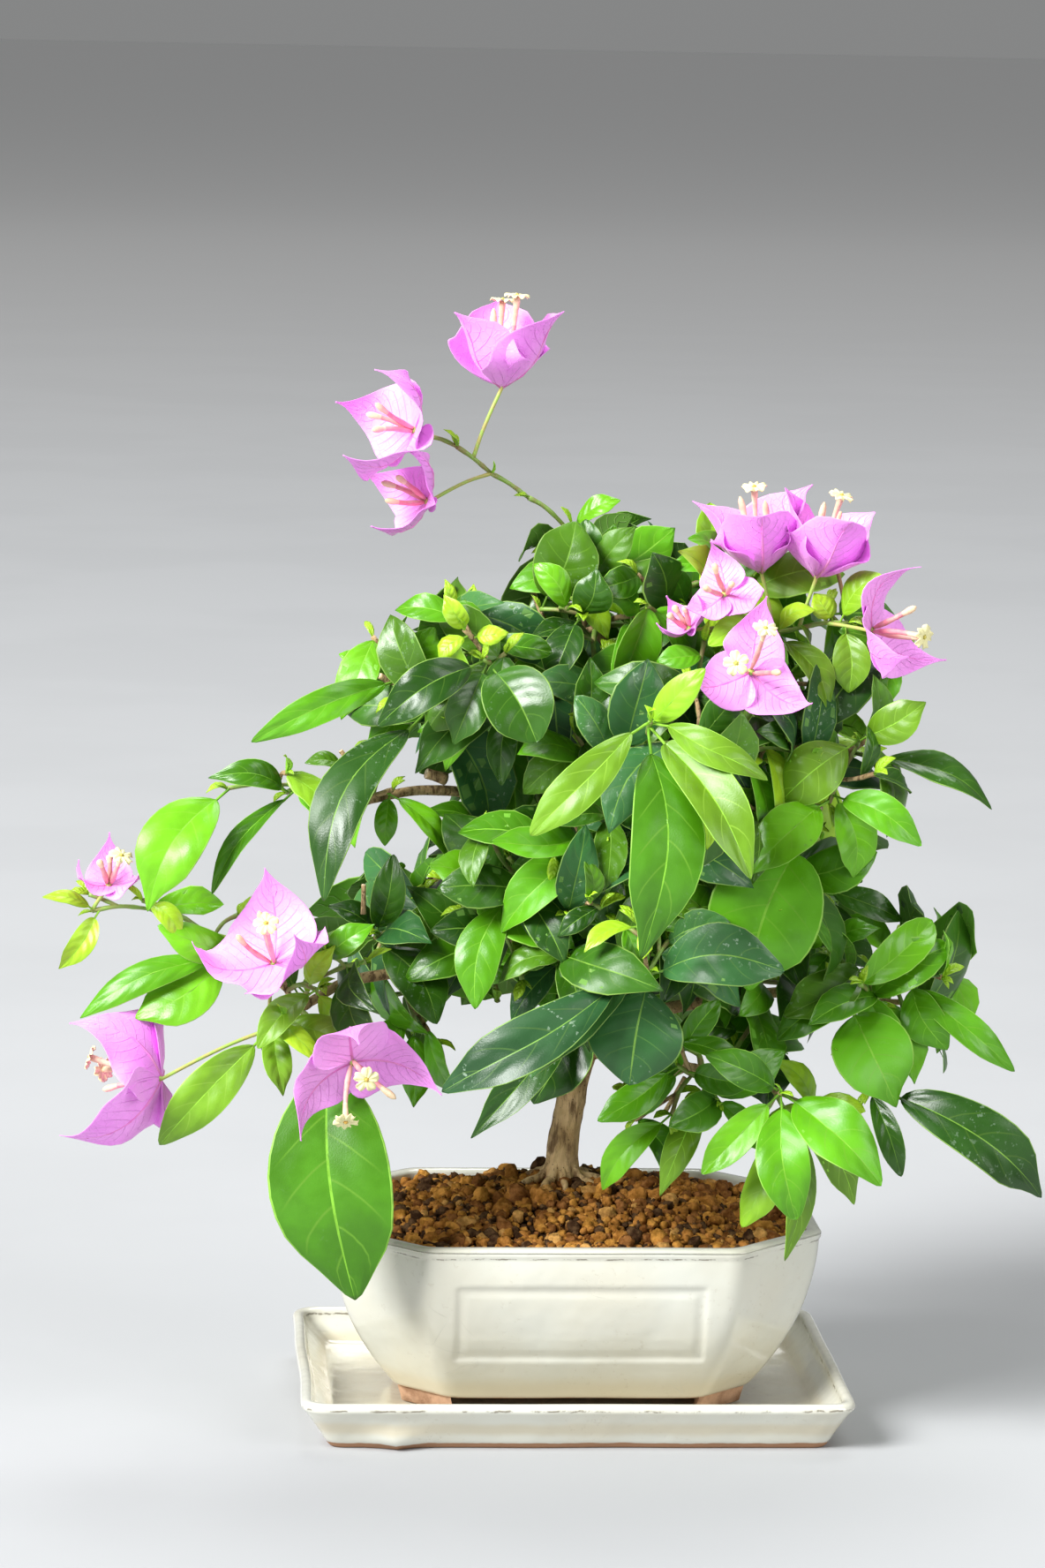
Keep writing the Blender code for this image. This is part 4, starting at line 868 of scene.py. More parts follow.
def blade_points(leaf, form, along, across, sink, half):
    """Points of a blade's surface at shares along it and across it, sunk below its face."""
    length, run, side, face = blade_frame(leaf)
    reach = form.petiole + (1 - form.petiole) * along
    late = np.maximum(along - CURL_AFTER, 0)
    rise = leaf.arch * BLADE_ARCH * 4 * reach * (1 - reach) - form.curl * late ** 2
    slope = np.arctan(leaf.arch * BLADE_ARCH * 4 * (1 - 2 * reach) - form.curl * 2 * late)
    centre = (np.array(leaf.root) + run * (length * reach)[:, None] + face * (length * rise)[:, None]
              + side * (length * form.sway * np.sin(math.pi * along))[:, None])
    local = face * np.cos(slope)[:, None] - run * np.sin(slope)[:, None]
    roll = (form.twist * (along - 0.3))[:, None]
    sideways = side * np.cos(roll) + local * np.sin(roll)
    local = local * np.cos(roll) - side * np.sin(roll)
    out = np.abs(across)[None, :] * half[:, None]
    fold = (form.fold * (1 - 0.4 * along))[:, None]
    beat = np.sin(math.tau * form.waves * along[:, None] + form.phase + 1.9 * (across > 0)[None, :])
    lift = (out * np.sin(fold) - form.cup * out * np.abs(across)
            + form.wave * beat * out * (across ** 2)[None, :])
    spread = out * np.sign(across)[None, :] * np.cos(fold)
    level = lift - sink
    return (centre[:, None, :] + sideways[:, None, :] * spread[..., None]
            + local[:, None, :] * level[..., None])


def blade_half(leaf, form, along):
    """Half the blade's width at shares along it: broad near its base, drawn out at its tip."""
    peak = form.base / (form.base + form.tip)
    top = peak ** form.base * (1 - peak) ** form.tip
    drawn = 1 - form.point * soft_step(along, 0.74, 0.97)
    return leaf.width / 2 * along ** form.base * (1 - along) ** form.tip / top * drawn


def take_blade(sheaf, leaf, form, thickness, looks):
    """Take up one leaf: blade with margins and midrib, its raised rib below and its stalk; the paler edge
    strips are painted highlight.
    """
    length = (leaf.tip - leaf.root).length
    thickness = max(thickness, length * BLADE_THICKNESS)
    fine = leaf.stations is LEAF_STATIONS
    along, uppers, lowers = SMALL_BLADE if length < SMALL_LENGTH else FINE_BLADE if fine else PLAIN_BLADE
    upper, under, rib, margin = (sheaf.looks[look] for look in looks)
    half = np.maximum(blade_half(leaf, form, along), thickness * 0.4)
    thick = thickness * np.minimum(1.0, half / (half.max() * 0.3))[:, None]
    groove = np.exp(-(uppers / 0.15) ** 2)[None, :] * thickness * 0.9 * np.sin(math.pi * along)[:, None]
    top = blade_points(leaf, form, along, uppers, groove, half)
    below = blade_points(leaf, form, along, lowers, thick * (1 - 0.5 * np.abs(lowers))[None, :], half)
    share = np.concatenate([uppers, lowers])
    middles = np.abs(share + np.roll(share, -1)) / 2
    strips = np.where(np.arange(len(share)) < len(uppers), np.where(middles < RIB_WITHIN, rib, upper), under)
    # The edge strips take the paler edge finish: painted highlight along the leaf's edge
    strips = np.where(middles > MARGIN_BEYOND, margin, strips)
    ring_uvs = np.stack(np.broadcast_arrays(share[None, :] * 0.5 + 0.5, along[:, None]), -1)
    sheaf.loft(np.concatenate([top, below], axis=1), strips, ring_uvs=ring_uvs)
    ribs = np.array(FINE_RIBS if fine else PLAIN_RIBS)
    spine = blade_points(leaf, form, ribs, np.array((0.0,)), np.full((len(ribs), 1), thickness * 1.1),
                         np.full(len(ribs), thickness))[:, 0]
    root = np.array(leaf.root)
    first = root + (spine[0] - root) * 0.35 - (spine[1] - spine[0]) * 0.12
    points = np.concatenate([[root, first, root + (spine[0] - root) * 0.75], spine])
    stout = PETIOLE * (0.75 + length * 9)
    radii = stout * (np.concatenate([[1.15, 0.95, 0.9], 0.97 - 0.87 * ribs]))
    sheaf.loft(tube_rings(points, radii, 5 if fine else 4), rib)


def leaf_form(rng, leaf, strewn):
    """The form of a leaf's blade by chance."""
    petiole = AIMED_PETIOLE if leaf.stations is LEAF_STATIONS else STREWN_PETIOLE if strewn else PLAIN_PETIOLE
    return LeafForm(petiole, fold=math.radians(rng.uniform(8, 36)), cup=rng.uniform(0.05, 0.35),
                    wave=rng.uniform(0.3, 1.0), phase=rng.uniform(0, math.tau), waves=rng.uniform(0.9, 1.8),
                    sway=rng.uniform(-0.10, 0.10), curl=rng.uniform(0.1, 1.0), twist=rng.uniform(-0.5, 0.5),
                    tip=rng.uniform(0.52, 0.72), base=rng.uniform(0.56, 0.74), point=rng.uniform(0.2, 0.55))


# ---------------------------------------------------------------- finishes

WHITE = (1, 1, 1)
LEAF_YELLOW = (0.46, 0.60, 0.015)
LEAF_VEIN = (0.45, 0.72, 0.10)
LEAF_DUST = (0.42, 0.55, 0.42)
LEAF_RIB = (0.42, 0.72, 0.10)
# Paler colour of each leaf's edge strip: painted highlight where the edge catches light
LEAF_MARGIN_HIGHLIGHT = (0.52, 0.78, 0.16)
LEAF_UNDER = (0.26, 0.46, 0.09)
LEAF_UNDER_VEIN = (0.5, 0.7, 0.25)
# Each shade's light and share of yellow
LEAF_SHADES = ((0.60, 0.02), (1.0, 0.05), (1.32, 0.12))
# Each tone's bounds of roughness, its veins' share, its dust and its share of yellow
LEAF_TONES = {
    "dark": ((0.28, 0.44), 0.07, 0.2, 1.0), "blue": ((0.33, 0.50), 0.08, 0.45, 0.5),
    "mid": ((0.30, 0.45), 0.12, 0.03, 1.0), "lime": ((0.34, 0.48), 0.22, 0.03, 4.2),
}
FURROW_DUST = (0.42, 0.36, 0.26)
GREEN_TWIG, GREEN_TWIG_LIGHT, GREEN_TWIG_WOODY = (0.22, 0.36, 0.06), (0.24, 0.40, 0.07), (0.26, 0.22, 0.08)
CUT_WOOD, CUT_WOOD_LIGHT, CUT_WOOD_DARK = (0.62, 0.50, 0.33), (0.66, 0.54, 0.36), (0.40, 0.29, 0.17)
BRACT_VEIN = (0.86, 0.16, 0.74)
BRACT_PALE = (1, 0.7, 1)
SHEEN_TINT = (1.0, 0.72, 1.0)
# Small parts of a blossom: colour, colour of its patches, roughness
FLOWER_PARTS = {
    "vein": ((0.86, 0.22, 0.70), (0.86, 0.30, 0.66), 0.5),
    "stalk": ((0.36, 0.55, 0.10), (0.45, 0.42, 0.12), 0.45),
    "tube": ((0.74, 0.26, 0.28), (0.72, 0.40, 0.34), 0.55),
    "tube_top": ((0.78, 0.52, 0.34), (0.84, 0.66, 0.42), 0.55),
    "throat": ((0.55, 0.50, 0.10), (0.66, 0.40, 0.08), 0.6),
}
GLAZE_ROUGHNESS = 0.16
HAIRLINE_GREY = (0.34, 0.31, 0.24)
WORN_GREY = (0.24, 0.22, 0.17)
PINHOLE_BROWN = (0.40, 0.33, 0.24)
CLAY_PALE = (0.62, 0.42, 0.28)
# Colour of the bed under the grains: the soil below, darkened as painted shade in the gaps between grains
SOIL_BED_BROWN_AND_SHADE = (0.045, 0.018, 0.008)
SOIL_DUST = (0.6, 0.4, 0.2)


def feed(tree, value, target):
    """Link a socket to an input, or set the input to a plain value, vector or colour."""
    if isinstance(value, bpy.types.NodeSocket):
        tree.links.new(value, target)
    else:
        target.default_value = (*value, 1.0) if target.type == "RGBA" else value


class Finish:
    """A material while it is being made."""

    def __init__(self, name, colour, roughness, **fixed):
        self.material = bpy.data.materials.new(name)
        self.material.use_nodes = True
        self.tree = self.material.node_tree
        self.shader = self.tree.nodes["Principled BSDF"]
        for socket, value in {"Base Color": colour, "Roughness": roughness, **fixed}.items():
            feed(self.tree, value, self.shader.inputs[socket.replace("_", " ")])

    def group(self, name, **values):
        """Place a node group with its own values."""
        node = self.tree.nodes.new("ShaderNodeGroup")
        node.node_tree = pattern(name)
        for socket, value in values.items():
            feed(self.tree, value, node.inputs[socket])
        return node.outputs

    def mix(self, share, first, second):
        """Mix two colours by a share; each is a socket or a plain colour."""
        node = self.tree.nodes.new("ShaderNodeMix")
        node.data_type = "RGBA"
        for value, target in ((share, node.inputs[0]), (first, node.inputs[6]), (second, node.inputs[7])):
            feed(self.tree, value, target)
        return node.outputs[2]

    def colour(self, socket):
        """Feed the base colour."""
        self.tree.links.new(socket, self.shader.inputs["Base Color"])

    def between(self, socket, share, low, high):
        """Feed one of the shader's inputs by a share between two values."""
        node = self.tree.nodes.new("ShaderNodeMapRange")
        node.inputs["To Min"].default_value = low
        node.inputs["To Max"].default_value = high
        self.tree.links.new(share, node.inputs["Value"])
        self.tree.links.new(node.outputs["Result"], self.shader.inputs[socket])

    def rough(self, share, low, high):
        """Feed the roughness by a share between two values."""
        self.between("Roughness", share, low, high)

    def bump(self, *heights):
        """Feed the normal by one bump for each (height, distance in metres)."""
        last = None
        for height, distance in heights:
            node = self.tree.nodes.new("ShaderNodeBump")
            node.inputs["Distance"].default_value = distance
            self.tree.links.new(height, node.inputs["Height"])
            if last is not None:
                self.tree.links.new(last, node.inputs["Normal"])
            last = node.outputs["Normal"]
        self.tree.links.new(last, self.shader.inputs["Normal"])


def mottled_finish(name, colour, rough, patches, grain=None, **fixed):
    """A finish in soft patches of two colours between two bounds of roughness, with or without grain."""
    look = Finish(name, colour, sum(rough) / 2, **fixed)
    tint = look.group("mottle", **patches)
    look.colour(tint["Color"])
    look.rough(tint["Mask"], *rough)
    if grain:
        scale, detail, depth = grain
        look.bump((look.group("grain", Scale=scale, Detail=detail)["Height"], depth))
    return look.material


class Pattern:
    """A shader node group while it is being made."""

    def __init__(self, name, inputs, outputs):
        self.tree = bpy.data.node_groups.new(name, "ShaderNodeTree")
        for socket, default in inputs.items():
            kind = "NodeSocketColor" if isinstance(default, tuple) else "NodeSocketFloat"
            made = self.tree.interface.new_socket(socket, in_out="INPUT", socket_type=kind)
            made.default_value = (*default, 1.0) if isinstance(default, tuple) else default
        for socket in outputs:
            kind = "NodeSocketColor" if socket == "Color" else "NodeSocketFloat"
            self.tree.interface.new_socket(socket, in_out="OUTPUT", socket_type=kind)
        given = self.tree.nodes.new("NodeGroupInput").outputs
        self.given = [given[socket] for socket in inputs]
        self.result = self.tree.nodes.new("NodeGroupOutput").inputs

    def node(self, kind, links=(), **settings):
        """A node with some settings, and links or values for its inputs."""
        made = self.tree.nodes.new("ShaderNode" + kind)
        for setting, value in settings.items():
            setattr(made, setting, value)
        for socket, value in links:
            feed(self.tree, value, made.inputs[socket])
        return made

    def math(self, operation, first, second=0.0):
        """The result of one sum."""
        return self.node("Math", ((0, first), (1, second)), operation=operation).outputs[0]

    def less(self, value):
        """1 less a value."""
        return self.math("SUBTRACT", 1.0, value)

    def spread(self, value, low, high):
        """A value spread from between two bounds to between 0 and 1, softly."""
        return self.node("MapRange", (("Value", value), ("From Min", low), ("From Max", high)),
                         interpolation_type="SMOOTHSTEP").outputs[0]

    def place(self):
        """Places on the object."""
        return self.node("TexCoord").outputs["Object"]

    def noise(self, vector, scale, detail=3.0, roughness=0.55):
        """A noise's value."""
        return self.node("TexNoise", (("Vector", vector), ("Scale", scale), ("Detail", detail),
                                      ("Roughness", roughness))).outputs[0]

    def out(self, **values):
        """Put values out by the names of the outputs."""
        for socket, value in values.items():
            self.tree.links.new(value, self.result[socket])


def make_mottle():
    """Soft patches of two colours."""
    group = Pattern("mottle", {"Scale": 60.0, "Low": 0.4, "High": 0.6, "Base": WHITE, "Second": WHITE},
                    ("Color", "Mask"))
    scale, low, high, base, second = group.given
    mask = group.spread(group.noise(group.place(), scale, 4.0), low, high)
    both = group.node("Mix", ((0, mask), (6, base), (7, second)), data_type="RGBA")
    group.out(Color=both.outputs[2], Mask=mask)


def make_grain():
    """A fine even grain."""
    group = Pattern("grain", {"Scale": 900.0, "Detail": 3.0}, ("Height",))
    scale, detail = group.given
    group.out(Height=group.noise(group.place(), scale, detail))


def make_side_veins():
    """Side veins that bend up from a midrib, and the quilted blade between them."""
    group = Pattern("side_veins", {"Pairs": 7.0, "Width": 0.10, "Slope": 0.20}, ("Mask", "Quilt"))
    pairs, width, slope = group.given
    form = group.node("UVMap", uv_map="Form").outputs[0]
    across, along, _ = group.node("SeparateXYZ", ((0, form),)).outputs
    out = group.math("ABSOLUTE", group.math("SUBTRACT", group.math("MULTIPLY", across, 2.0), 1.0))
    bend = group.math("MULTIPLY", group.math("POWER", out, 1.25), slope)
    step = group.math("MULTIPLY", group.math("SUBTRACT", along, bend), pairs)
    other_side = group.math("GREATER_THAN", across, 0.5)
    step = group.math("ADD", step, group.math("MULTIPLY", other_side, 0.42))
    near = group.math("ABSOLUTE", group.math("SUBTRACT", group.math("FRACT", step), 0.5))
    fade = group.less(group.spread(out, 0.55, 0.95))
    group.out(Mask=group.math("MULTIPLY", group.less(group.spread(near, 0.0, width)), fade),
              Quilt=group.math("MULTIPLY", group.spread(near, 0.0, 0.5), fade))


def make_far_fade():
    """A share that grows with the distance from the object."""
    group = Pattern("far_fade", {"Near": 2.5, "Far": 11.0}, ("Mask",))
    near, far = group.given
    away = group.node("VectorMath", ((0, group.place()),), operation="LENGTH").outputs["Value"]
    group.out(Mask=group.spread(away, near, far))


def make_specks():
    """Fine specks that lie in broad patches."""
    group = Pattern("specks", {"Scale": 500.0, "Amount": 0.5}, ("Mask",))
    scale, amount = group.given
    fine = group.spread(group.noise(group.place(), scale, 2.0, 0.7), 0.60, 0.68)
    broad = group.spread(group.noise(group.place(), 45.0, 2.0), 0.45, 0.62)
    group.out(Mask=group.math("MULTIPLY", group.math("MULTIPLY", fine, broad), amount))


def make_hairlines():
    """A net of hairlines that comes and goes in patches."""
    group = Pattern("hairlines", {"Scale": 90.0, "Width": 0.02, "Patches": 0.5}, ("Mask",))
    scale, width, patches = group.given
    place = group.place()
    cells = group.node("TexVoronoi", (("Vector", place), ("Scale", scale)), feature="DISTANCE_TO_EDGE")
    line = group.less(group.spread(cells.outputs["Distance"], 0.0, width))
    patch = group.spread(group.noise(place, 28.0, 3.0), patches, group.math("ADD", patches, 0.12))
    group.out(Mask=group.math("MULTIPLY", line, patch))


def make_level_band():
    """A level band with a ragged edge, whole and broken up."""
    inputs = {"Middle": 0.0, "Reach": 0.001, "Soft": 0.001, "Ragged": 0.001, "Scale": 120.0}
    group = Pattern("level_band", inputs, ("Mask", "Broken"))
    middle, reach, soft, ragged, scale = group.given
    place = group.place()
    height = group.node("SeparateXYZ", ((0, place),)).outputs[2]
    waver = group.math("SUBTRACT", group.noise(place, scale, 4.0), 0.5)
    height = group.math("ADD", height, group.math("MULTIPLY", waver, ragged))
    away = group.math("ABSOLUTE", group.math("SUBTRACT", height, middle))
    mask = group.less(group.spread(away, reach, group.math("ADD", reach, soft)))
    breaks = group.spread(group.noise(place, 150.0, 4.0, 0.7), 0.46, 0.60)
    group.out(Mask=mask, Broken=group.math("MULTIPLY", mask, breaks))


def make_bark_flakes():
    """Upright furrows and dark spots."""
    group = Pattern("bark_flakes", {"Scale": 260.0}, ("Furrow", "Height", "Spots"))
    place = group.place()
    upright = group.node("Mapping", (("Vector", place), ("Scale", (1.0, 1.0, 0.25)))).outputs[0]
    fibre = group.noise(upright, group.given[0], 5.0, 0.65)
    group.out(Furrow=group.spread(fibre, 0.53, 0.36), Height=fibre,
              Spots=group.spread(group.noise(place, 900.0, 2.0), 0.64, 0.72))


PATTERNS = {
    "mottle": make_mottle, "grain": make_grain, "side_veins": make_side_veins, "far_fade": make_far_fade,
    "specks": make_specks, "hairlines": make_hairlines, "level_band": make_level_band,
    "bark_flakes": make_bark_flakes,
}


def pattern(name):
    """One of the node groups that several finishes share, built when it is first asked for."""
    if name not in bpy.data.node_groups:
        PATTERNS[name]()
    return bpy.data.node_groups[name]


def mixed(first, second, share):
    """A plain colour between two others."""
    return tuple(a + (b - a) * share for a, b in zip(first, second))


def scaled(colour, share):
    """A plain colour made darker or lighter."""
    return tuple(min(part * share, 1.0) for part in colour)


def leaf_top_finish(name, tone, base, light, warm):
    """A leaf's upper side: side veins, soft patches, dust and a quilted gloss."""
    gloss, vein_share, dust_amount, warmth = LEAF_TONES[tone]
    colour = mixed(scaled(base, light), LEAF_YELLOW, warm * warmth)
    look = Finish(name, colour, 0.35, Specular_IOR_Level=0.46)
    veins = look.group("side_veins", Pairs=5.0, Width=0.055, Slope=0.24)
    patches = look.group("mottle", Scale=38.0, Low=0.35, High=0.7, Base=scaled(colour, 0.82),
                         Second=scaled(colour, 1.25))
    veined = look.mix(veins["Mask"], patches["Color"], mixed(colour, LEAF_VEIN, vein_share))
    dust = look.group("specks", Scale=420.0, Amount=dust_amount)
    look.colour(look.mix(dust["Mask"], veined, LEAF_DUST))
    look.rough(patches["Mask"], *gloss)
    grain = look.group("grain", Scale=1500.0, Detail=2.0)
    look.bump((veins["Quilt"], 0.00014), (grain["Height"], 0.00005))
    return look.material


def leaf_under_finish(tone, base):
    """A leaf's paler underside with raised veins."""
    colour = mixed(scaled(base, 1.3), LEAF_UNDER, 0.40)
    look = Finish("under_" + tone, colour, 0.55, Specular_IOR_Level=0.25)
    veins = look.group("side_veins", Width=0.12)
    patches = look.group("mottle", Scale=60.0, Base=scaled(colour, 0.88), Second=scaled(colour, 1.12))
    look.colour(look.mix(veins["Mask"], patches["Color"], mixed(colour, LEAF_UNDER_VEIN, 0.22)))
    look.bump((veins["Mask"], 0.0002))
    return look.material


def leaf_finishes(settings):
    """The finishes of leaves: three shades of each tone, undersides, ribs, and edge strips made paler as
    painted highlight.
    """
    made = {}
    for tone in LEAF_TONES:
        base = tuple(getattr(settings, tone))
        for shade, (light, warm) in enumerate(LEAF_SHADES):
            made[f"{tone}_{shade}"] = leaf_top_finish(f"leaf_{tone}_{shade}", tone, base, light, warm)
        made["under_" + tone] = leaf_under_finish(tone, base)
        # Ribs are paler midribs; the edge strips are made paler as painted highlight
        for part, target, share in (("rib", LEAF_RIB, 0.34), ("margin", LEAF_MARGIN_HIGHLIGHT, 0.36)):
            colour = mixed(base, target, share)
            patches = dict(Scale=150.0, Base=scaled(colour, 0.85), Second=scaled(colour, 1.1))
            made[f"{part}_{tone}"] = mottled_finish(f"{part}_{tone}", colour, (0.35, 0.5), patches,
                                                    Specular_IOR_Level=0.3)
    return made


# ---------------------------------------------------------------- wood

MASS_GROUPS = {
    "left": ("low_left", "arm_left", "high_left", "inner_left"),
    "crown": ("crown_left", "crown", "middle_left", "middle", "front_low"),
    "right": ("high_right", "right", "mid_right", "low_right", "hanging_right"),
    "back": ("back_low", "back_left", "back_middle", "back_right", "back_high", "back_high_left"),
}
TRUNK_SIDES = 56
TRUNK_FINE_STEPS = 14
BOUGH_SIDES = 16
BOUGH_FINE_STEPS = 9
TWIG_SIDES = 8
TWIG_FINE_STEPS = 4
TRUNK_SINK = 0.002
TRUNK_FLARE = 0.0016
TRUNK_FLARE_FADE = 0.0045
TRUNK_KNOT = (0.1335, 0.0045, 0.0016)
TRUNK_FORK = (0.2, 0.006, 0.0006)
SURFACE_ROOTS = 9
ROOT_SIDES = 10
COLLAR = 0.0016
COLLAR_RUN = 0.003
COLLAR_FADE = 0.004
STUB_SIDES = 12
STUB_GIRTHS = (1.25, 1.12, 1.0, 1.02, 0.9)
TWIG_KNOT = 0.22
TWIG_KNOT_RUN = 0.0012
TWIG_WOODY = 0.001495
TWIG_GREEN_SHARE = 0.75

# Cut stubs: base and end in mm, with the radius of each
STUBS = (
    ((-16.9, -22, 301.1), (-20.3, -22, 309.7), 1.0), ((6.9, -30, 223.7), (0.9, -30, 230.1), 0.8),
    ((-80.1, -36, 194), (-80.2, -38, 202.5), 0.9), ((-86.2, -44, 248), (-89.5, -45, 252.4), 0.9),
    ((-70, -46, 276), (-76.1, -50, 280.3), 1.2), ((-52.5, -32, 241), (-58, -34, 242.8), 2.0),
    ((38, -42, 136), (31.3, -44, 133.2), 1.0), ((66, -50, 132), (73.4, -55, 129.3), 1.1),
    ((36, -44, 130), (29.6, -50, 120.8), 0.9), ((110, -20, 160), (115.8, -20, 163.8), 1.1),
    ((112, -24, 158), (118.6, -25, 158.1), 1.2), ((92, -42, 306), (88.7, -40, 320), 0.8),
    ((94, -48, 254), (100, -50, 258.8), 1.1), ((84, -44, 252), (91.6, -50, 250.4), 1.2),
    ((78, -48, 238), (83.4, -55, 234), 1.2), ((6, 5, 132), (15.5, 1, 134), 2.2),
)


def fine_path(points, radii, steps):
    """A path and its radii with more points on the same smooth curve."""
    path = smooth_path(list(points), steps)
    sizes = [vector.x for vector in smooth_path([Vector((radius, 0)) for radius in radii], steps)]
    return path, sizes


def furrowed(rings, radii, relief, seed):
    """Rings pushed in and out by long furrows and flakes of bark."""
    middles = rings.mean(axis=1, keepdims=True)
    out = unit(rings - middles)
    runs = run_length(middles[:, 0])
    made = rings.copy()
    for row in range(rings.shape[0]):
        for side in range(rings.shape[1]):
            spot = Vector(out[row, side]) * 2.2 + Vector((0, 0, runs[row] * 75)) + Vector((seed, 0, 0))
            long = noise.noise(spot)
            fine = noise.noise(spot * 3.1 + Vector((7, 3, 1)))
            flake = abs(noise.noise(spot * 1.7 + Vector((2, 9, 4))))
            depth = relief * (0.9 * long + 0.5 * fine - 0.8 * flake) * radii[row]
            made[row, side] += out[row, side] * depth
    return made


def swelling(place, middle, run, size):
    """How far a round swelling stands out at a place."""
    return math.exp(-((place - middle) / run) ** 2) * size


def take_trunk(sheaf, settings):
    """The trunk: flared lobes at its foot, furrowed bark and swollen old cuts."""
    path, sizes = fine_path([in_metres(point) for point, _ in TRUNK], [radius * MM for _, radius in TRUNK],
                            TRUNK_FINE_STEPS)
    foot = path[0]
    turns = np.arange(TRUNK_SIDES) * math.tau / TRUNK_SIDES
    lobes = 1 + 0.5 * np.cos(turns * 5 + 0.6) + 0.3 * np.cos(turns * 3 + 2.0)
    spread = []
    for point, size in zip([foot, *path], [sizes[0], *sizes]):
        flare = math.exp(-max(point.z - foot.z, 0) / TRUNK_FLARE_FADE) * TRUNK_FLARE
        knot = swelling(point.z, *TRUNK_KNOT)
        spread.append(size * 0.96 + flare * lobes + knot * (0.6 + 0.4 * np.cos(turns))
                      + swelling(point.z, *TRUNK_FORK))
    rings = tube_rings([foot - Vector((0, 0, TRUNK_SINK)), *path], spread, TRUNK_SIDES)
    rings = furrowed(rings, [float(np.mean(ring)) for ring in spread], settings.relief, 3.0)
    sheaf.loft(rings, sheaf.looks["old"])
    take_surface_roots(sheaf, foot, settings)


def take_surface_roots(sheaf, foot, settings):
    """Roots that leave the trunk's foot and dive into the soil."""
    rng = random.Random(SEED + 71)
    for index in range(SURFACE_ROOTS):
        turn = math.radians(index * 360 / SURFACE_ROOTS + rng.uniform(-14, 14))
        out = Vector((math.cos(turn), math.sin(turn), 0))
        reach = rng.uniform(0.007, 0.014)
        size = rng.uniform(0.0013, 0.0024)
        root = [foot + out * 0.004 + Vector((0, 0, rng.uniform(0.005, 0.009))),
                foot + out * 0.0085 + Vector((0, 0, 0.0030)),
                foot + out * (0.009 + reach * 0.5) + Vector((0, 0, 0.0014)),
                foot + out * (0.009 + reach) + Vector((0, 0, -0.004))]
        run, thick = fine_path(root, [size, size, size * 0.8, size * 0.4], 5)
        rings = tube_rings(run, thick, ROOT_SIDES)
        sheaf.loft(furrowed(rings, thick, settings.relief, index), sheaf.looks["old"])


def take_boughs(sheaf, settings):
    """Each bough: a tapering limb with a collar where it leaves the trunk."""
    for number, (root, tip, points) in enumerate(BOUGHS.values()):
        last = len(points) - 1
        radii = [(root + (tip - root) * index / last) * MM for index in range(len(points))]
        path, sizes = fine_path([in_metres(point) for point in points], radii, BOUGH_FINE_STEPS)
        sizes = [size * 0.98 + COLLAR * math.exp(-max(run - COLLAR_RUN, 0) / COLLAR_FADE)
                 for size, run in zip(sizes, run_length(path))]
        rings = tube_rings(path, sizes, BOUGH_SIDES)
        rings = furrowed(rings, sizes, settings.relief * 0.8, 11.0 + number)
        sheaf.loft(rings, sheaf.looks["young"])


def take_twigs(sheaf, grown, names):
    """The stems and twigs of some masses, with a swelling at even steps along each."""
    for name in names:
        for order, (points, radii, _) in enumerate(grown.wood[name]):
            path, sizes = fine_path(points, radii, TWIG_FINE_STEPS)
            if order == 0:
                heading = (path[1] - path[0]).normalized()
                path = [path[0] - heading * 0.003, *path]
                sizes = [sizes[0], *sizes]
            rng = random.Random(SEED + 31 * order + len(name))
            beat = rng.uniform(0.007, 0.012)
            sizes = [size * (1 + swelling(run % beat, beat / 2, TWIG_KNOT_RUN, TWIG_KNOT))
                     for size, run in zip(sizes, run_length(path))]
            if name == "crown_left":
                look = "green"
            elif max(sizes) > TWIG_WOODY:
                look = "young"
            else:
                look = "green" if rng.random() < TWIG_GREEN_SHARE else "young"
            sheaf.loft(tube_rings(path, sizes, TWIG_SIDES), sheaf.looks[look])


def take_stubs(sheaf, settings):
    """Short stubs left by old cuts, each with a pale end."""
    for number, (base, end, size) in enumerate(STUBS):
        start, stop = in_metres(base), in_metres(end)
        run = stop - start
        points = [start - run * 0.3, start, start + run * 0.5, stop - run * 0.03, stop]
        radii = [size * MM * share for share in STUB_GIRTHS]
        rings = tube_rings(points, radii, STUB_SIDES)
        rings = furrowed(rings, radii, settings.relief, 40.0 + number)
        sheaf.loft(rings, sheaf.looks["young"], far_look=sheaf.looks["cut"])


def bark_finish(name, settings, light, scale):
    """Grey-brown bark with upright furrows and dark spots."""
    bark, furrow = tuple(settings.bark), tuple(settings.furrow)
    look = Finish(name, scaled(bark, light), 0.85)
    flakes = look.group("bark_flakes", Scale=scale)
    tint = look.group("mottle", Scale=120.0, Low=0.35, High=0.65, Base=scaled(bark, light * 0.8),
                      Second=mixed(scaled(bark, light * 1.3), FURROW_DUST, 0.35))
    body = look.mix(flakes["Furrow"], tint["Color"], scaled(furrow, light))
    look.colour(look.mix(flakes["Spots"], body, scaled(furrow, 0.5)))
    look.rough(flakes["Height"], 0.75, 0.95)
    look.bump((flakes["Height"], 0.0010))
    return look.material


def wood_finishes(settings):
    """Old and young bark, green twigs and cut ends."""
    green = dict(Scale=180.0, Low=0.4, High=0.66, Base=GREEN_TWIG_LIGHT, Second=GREEN_TWIG_WOODY)
    cut = dict(Scale=700.0, Base=CUT_WOOD_LIGHT, Second=CUT_WOOD_DARK)
    return {
        "old": bark_finish("bark_old", settings, 1.0, 300.0),
        "young": bark_finish("bark_young", settings, 0.8, 520.0),
        "green": mottled_finish("green_twig", GREEN_TWIG, (0.4, 0.65), green, (1200.0, 3.0, 0.0001)),
        "cut": mottled_finish("cut_wood", CUT_WOOD, (0.7, 0.9), cut),
    }


# ---------------------------------------------------------------- leaves and blossoms

